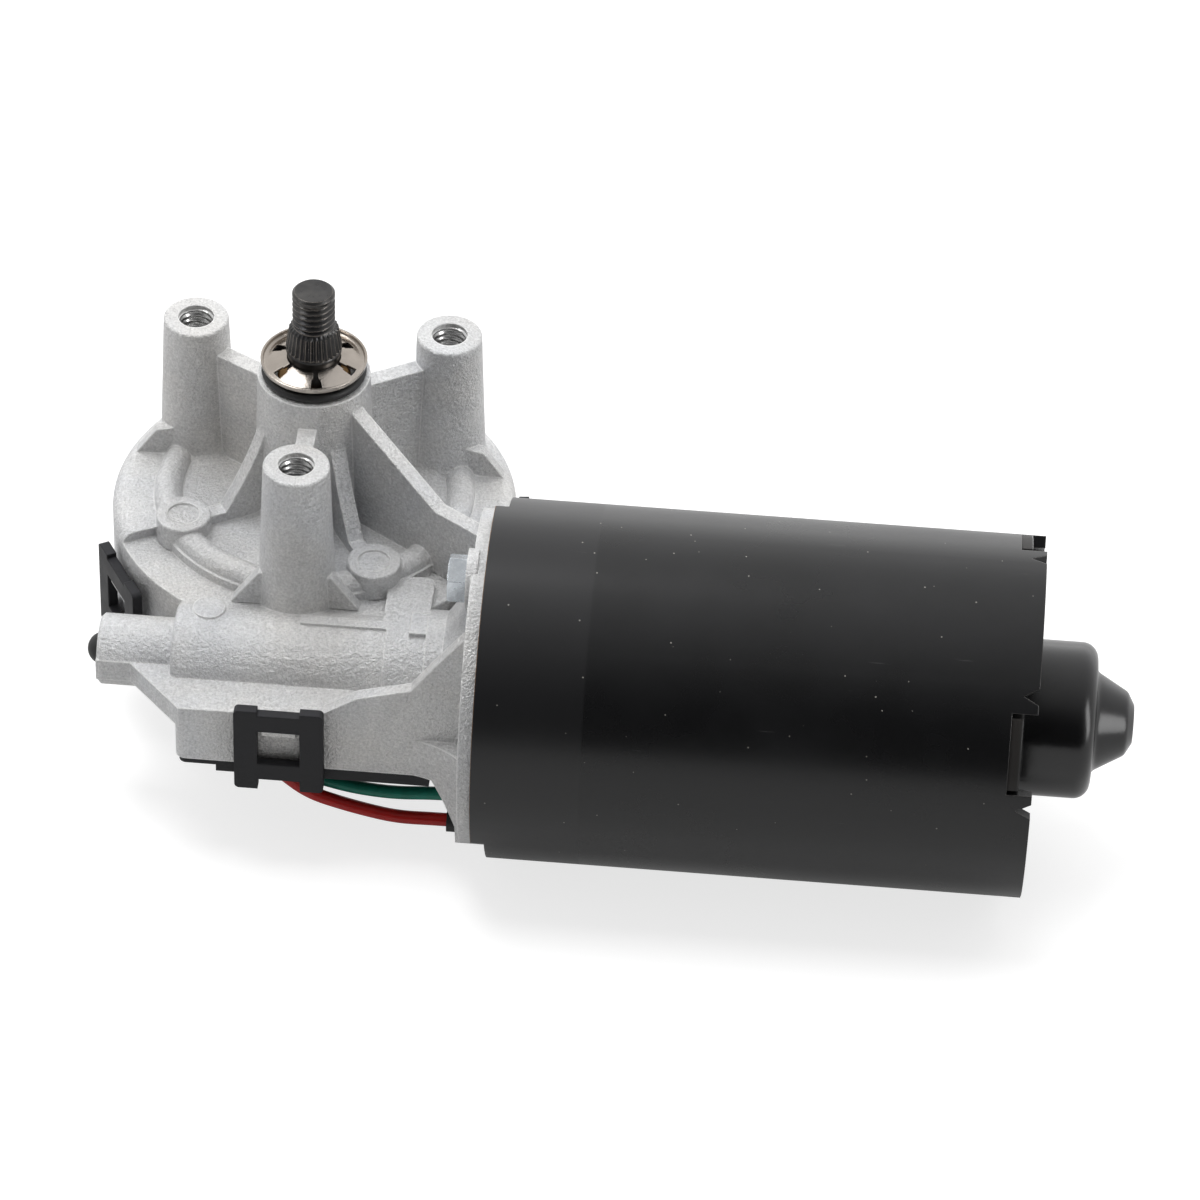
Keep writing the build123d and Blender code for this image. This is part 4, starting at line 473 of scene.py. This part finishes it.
def make_shaft_end():
    """The output shaft with its cut thread and tapered knurl, standing for the plain one."""
    low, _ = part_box("output_shaft")
    foot = low.z / MM
    points = [(0.0, foot), (SHAFT_R - FOOT_CHAMFER, foot), (SHAFT_R, foot + FOOT_CHAMFER)]
    points += [(SHAFT_R, SEAT_START), (SHAFT_R, SEAT_END), *COLLAR, (SHAFT_R, KNURL_START - 0.05)]
    for i in range(KNURL_RINGS + 1):
        share = i / KNURL_RINGS
        height = KNURL_START + (KNURL_END - KNURL_START) * share
        points.append((KNURL_BOTTOM_R + (KNURL_TOP_R - KNURL_BOTTOM_R) * share, height))
    points += RUNOUT
    height = THREAD_START
    while height < THREAD_END:
        points.append((THREAD_R, height))
        height += THREAD_PITCH / THREAD_STEPS
    points += [(THREAD_R, THREAD_END), (THREAD_R, SHAFT_TOP - TIP_CHAMFER)]
    points += [(THREAD_R - TIP_CHAMFER, SHAFT_TOP), (0.0, SHAFT_TOP)]
    work = spun(points, SHAFT_SEGMENTS)
    for vert in work.verts:
        radius = math.hypot(vert.co.x, vert.co.y)
        if radius < 0.01:
            continue
        angle = math.atan2(vert.co.y, vert.co.x)
        cut = 0.0
        if KNURL_START - 0.01 < vert.co.z < KNURL_END + 0.01:
            wave = (math.cos(angle * KNURL_COUNT) + 1) / 2
            cut = KNURL_DEPTH * wave ** 0.7
        elif THREAD_START - 0.05 < vert.co.z < THREAD_END:
            begun = (vert.co.z - THREAD_START + 0.05) / THREAD_LEAD_IN
            fade = min(1.0, begun, (THREAD_END - vert.co.z) / THREAD_LEAD_OUT)
            reach = radius - THREAD_ROOT_R
            cut = max(0.0, reach) * thread_depth(angle, vert.co.z, fade)
        scale = (radius - cut) / radius
        vert.co.x *= scale
        vert.co.y *= scale
    piece = finished(work, "threaded_output_shaft", "black_oxide_steel", "output", 0.65)
    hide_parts("output_shaft")
    return piece


def make_tapped_threads():
    """Thread ridges inside the three tapped bosses."""
    for i, angle in enumerate(BOSS_ANGLES):
        spot = math.radians(angle)
        height = RING_FOOT
        inner = [(BOSS_HOLE_R + RING_ROOT, RING_FOOT - 0.1)]
        while height < RING_TOP:
            inner.append((BOSS_HOLE_R - RING_DEPTH, height))
            height += THREAD_PITCH / RING_STEPS
        inner.append((BOSS_HOLE_R + RING_ROOT, RING_TOP + 0.05))
        work = spun(inner + [inner[0]], RING_SEGMENTS)
        for vert in work.verts:
            radius = math.hypot(vert.co.x, vert.co.y)
            if radius > BOSS_HOLE_R:
                continue
            turn = math.atan2(vert.co.y, vert.co.x)
            cut = RING_CUT * thread_depth(turn, vert.co.z, 1.0)
            scale = (radius + cut) / radius
            vert.co.x *= scale
            vert.co.y *= scale
        bmesh.ops.translate(work, verts=work.verts,
                            vec=(BOSS_CIRCLE_R * math.cos(spot), BOSS_CIRCLE_R * math.sin(spot), 0.0))
        finished(work, f"boss_thread_{i + 1}", "bright_steel", "motor_body", 0.6)


def make_star_washer():
    """The pressed washer, standing for the plain one: a rising dish, a rolled lip and six slots."""
    work = spun([*DISH, (SLOT_FOOT_R, 3.13), (7.4, 2.80), (SLOT_END_R, 2.50), *LIP], WASHER_SEGMENTS)
    slots = []
    for face in work.faces:
        middle = face.calc_center_median()
        turn = math.degrees(math.atan2(middle.y, middle.x))
        off_slot = (turn - SLOT_ANGLE + SLOT_SPACING / 2) % SLOT_SPACING - SLOT_SPACING / 2
        half = SLOT_HALF_ANGLE if middle.xy.length < SLOT_FOOT_R else SLOT_FOOT_HALF_ANGLE
        if abs(off_slot) < half and middle.xy.length < SLOT_END_R:
            slots.append(face)
    bmesh.ops.delete(work, geom=slots, context="FACES")
    bmesh.ops.solidify(work, geom=work.faces[:], thickness=-WASHER_T)
    bmesh.ops.recalc_face_normals(work, faces=work.faces)
    piece = finished(work, "slotted_star_washer", "stainless_steel", "output", 0.6)
    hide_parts("star_washer")
    return piece


make_shaft_end()
make_tapped_threads()
make_star_washer()


# ---------------------------------------------------------------- floor, light and camera
def make_floor():
    """A wide plain floor, near white to the camera and to gloss, that keeps the object's shadow."""
    mat = bpy.data.materials.new("studio_paper")
    mat.use_nodes = True
    nodes, links = mat.node_tree.nodes, mat.node_tree.links
    shader = nodes["Principled BSDF"]
    shader.inputs["Base Color"].default_value = (FLOOR_GREY, FLOOR_GREY, FLOOR_GREY, 1.0)
    shader.inputs["Roughness"].default_value = 0.9
    shader.inputs["Specular IOR Level"].default_value = 0.0
    rays = nodes.new("ShaderNodeLightPath")
    seen = nodes.new("ShaderNodeMath")
    seen.operation = "MAXIMUM"
    mirrored = nodes.new("ShaderNodeMath")
    mirrored.operation = "MULTIPLY"
    links.new(rays.outputs["Is Glossy Ray"], mirrored.inputs[0])
    behind = ramp(mat, band(mat, "Y", 0.0, GLOSS_REACH), ((0.0, GLOSS_NEAR), (1.0, GLOSS_FAR)))
    links.new(behind, mirrored.inputs[1])
    links.new(rays.outputs["Is Camera Ray"], seen.inputs[0])
    links.new(mirrored.outputs[0], seen.inputs[1])
    glow = nodes.new("ShaderNodeEmission")
    glow.inputs["Strength"].default_value = FLOOR_GLOW
    dark = nodes.new("ShaderNodeEmission")
    dark.inputs["Strength"].default_value = 0.0
    lift = nodes.new("ShaderNodeMixShader")
    links.new(seen.outputs[0], lift.inputs["Fac"])
    links.new(dark.outputs[0], lift.inputs[1])
    links.new(glow.outputs[0], lift.inputs[2])
    both = nodes.new("ShaderNodeAddShader")
    links.new(shader.outputs[0], both.inputs[0])
    links.new(lift.outputs[0], both.inputs[1])
    links.new(both.outputs[0], nodes["Material Output"].inputs["Surface"])
    low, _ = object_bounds()
    bpy.ops.mesh.primitive_plane_add(size=FLOOR_SIZE, location=(0.0, 0.0, low.z - FLOOR_DROP))
    floor = bpy.context.object
    floor.name = "studio_floor"
    floor.data.materials.append(mat)


def area_light(name, place, aim, size, power, size_y=None, in_gloss=True, in_diffuse=True):
    """A soft box that faces a point; it can be kept out of gloss or out of dull surfaces."""
    light = bpy.data.lights.new(name, "AREA")
    light.energy = power
    light.size = size
    if size_y:
        light.shape = "RECTANGLE"
        light.size_y = size_y
    lamp = bpy.data.objects.new(name, light)
    lamp.visible_glossy = in_gloss
    lamp.visible_diffuse = in_diffuse
    bpy.context.scene.collection.objects.link(lamp)
    lamp.location = place
    lamp.rotation_euler = (Vector(aim) - Vector(place)).to_track_quat("-Z", "Y").to_euler()
    return lamp


def make_world():
    """A studio round the object: bright behind, softer overhead, dark in front, white to the camera."""
    world = bpy.data.worlds.new("studio")
    bpy.context.scene.world = world
    world.use_nodes = True
    nodes, links = world.node_tree.nodes, world.node_tree.links
    room = nodes["Background"]
    room.inputs["Strength"].default_value = ROOM_LIGHT
    where = nodes.new("ShaderNodeTexCoord")
    front = nodes.new("ShaderNodeVectorMath")
    front.operation = "DOT_PRODUCT"
    tilt = math.radians(ROOM_TILT)
    front.inputs[1].default_value = (0.0, -math.cos(tilt), math.sin(tilt))
    links.new(where.outputs["Generated"], front.inputs[0])
    spread = nodes.new("ShaderNodeMapRange")
    spread.inputs["From Min"].default_value = -1.0
    links.new(front.outputs["Value"], spread.inputs["Value"])
    links.new(ramp(world, spread.outputs["Result"], ROOM_TONES), room.inputs["Color"])
    bright = nodes.new("ShaderNodeBackground")
    bright.inputs["Color"].default_value = (1.0, 1.0, 1.0, 1.0)
    rays = nodes.new("ShaderNodeLightPath")
    blend = nodes.new("ShaderNodeMixShader")
    links.new(rays.outputs["Is Camera Ray"], blend.inputs["Fac"])
    links.new(room.outputs[0], blend.inputs[1])
    links.new(bright.outputs[0], blend.inputs[2])
    links.new(blend.outputs[0], nodes["World Output"].inputs["Surface"])


def make_camera():
    """A long lens from the front and above."""
    azimuth, elevation = math.radians(CAMERA_AZIMUTH), math.radians(CAMERA_ELEVATION)
    roll = math.radians(CAMERA_ROLL)
    level = Vector((math.cos(azimuth), math.sin(azimuth), 0.0))
    front = Vector((math.sin(azimuth), -math.cos(azimuth), 0.0))
    back = front * math.cos(elevation) + Vector((0.0, 0.0, math.sin(elevation)))
    rise = back.cross(level)
    across = level * math.cos(roll) + rise * math.sin(roll)
    up = rise * math.cos(roll) - level * math.sin(roll)
    data = bpy.data.cameras.new("studio_camera")
    data.sensor_width = 36.0
    data.lens = CAMERA_LENS
    data.clip_start = 0.05
    data.clip_end = 20.0
    camera = bpy.data.objects.new("studio_camera", data)
    bpy.context.scene.collection.objects.link(camera)
    turn = Matrix((across, up, back)).transposed().to_4x4()
    camera.matrix_world = Matrix.Translation(CAMERA_PLACE) @ turn
    bpy.context.scene.camera = camera


make_floor()
make_world()
make_camera()
area_light("overhead_softbox", (0.1, 0.3, 1.15), MIDDLE, size=1.4, size_y=0.9, power=6.6, in_gloss=False)
area_light("top_fill", (-0.15, 0.0, 1.2), (0.0, -0.02, -0.02), size=0.5, power=9.5, in_gloss=False)
area_light("side_strip", (1.21, -0.47, 0.33), (0.15, -0.04, -0.04), size=0.45, size_y=1.2, power=7.0,
           in_diffuse=False)
area_light("dish_glint", (-0.32, 0.35, 0.99), TOWER_TOP, size=0.4, power=1.7, in_diffuse=False)
area_light("sparkle_lamp", (-0.75, -0.15, 0.95), MIDDLE, size=0.3, power=1.6, in_diffuse=False)

view_settings = bpy.context.scene.view_settings
view_settings.view_transform = "Standard"
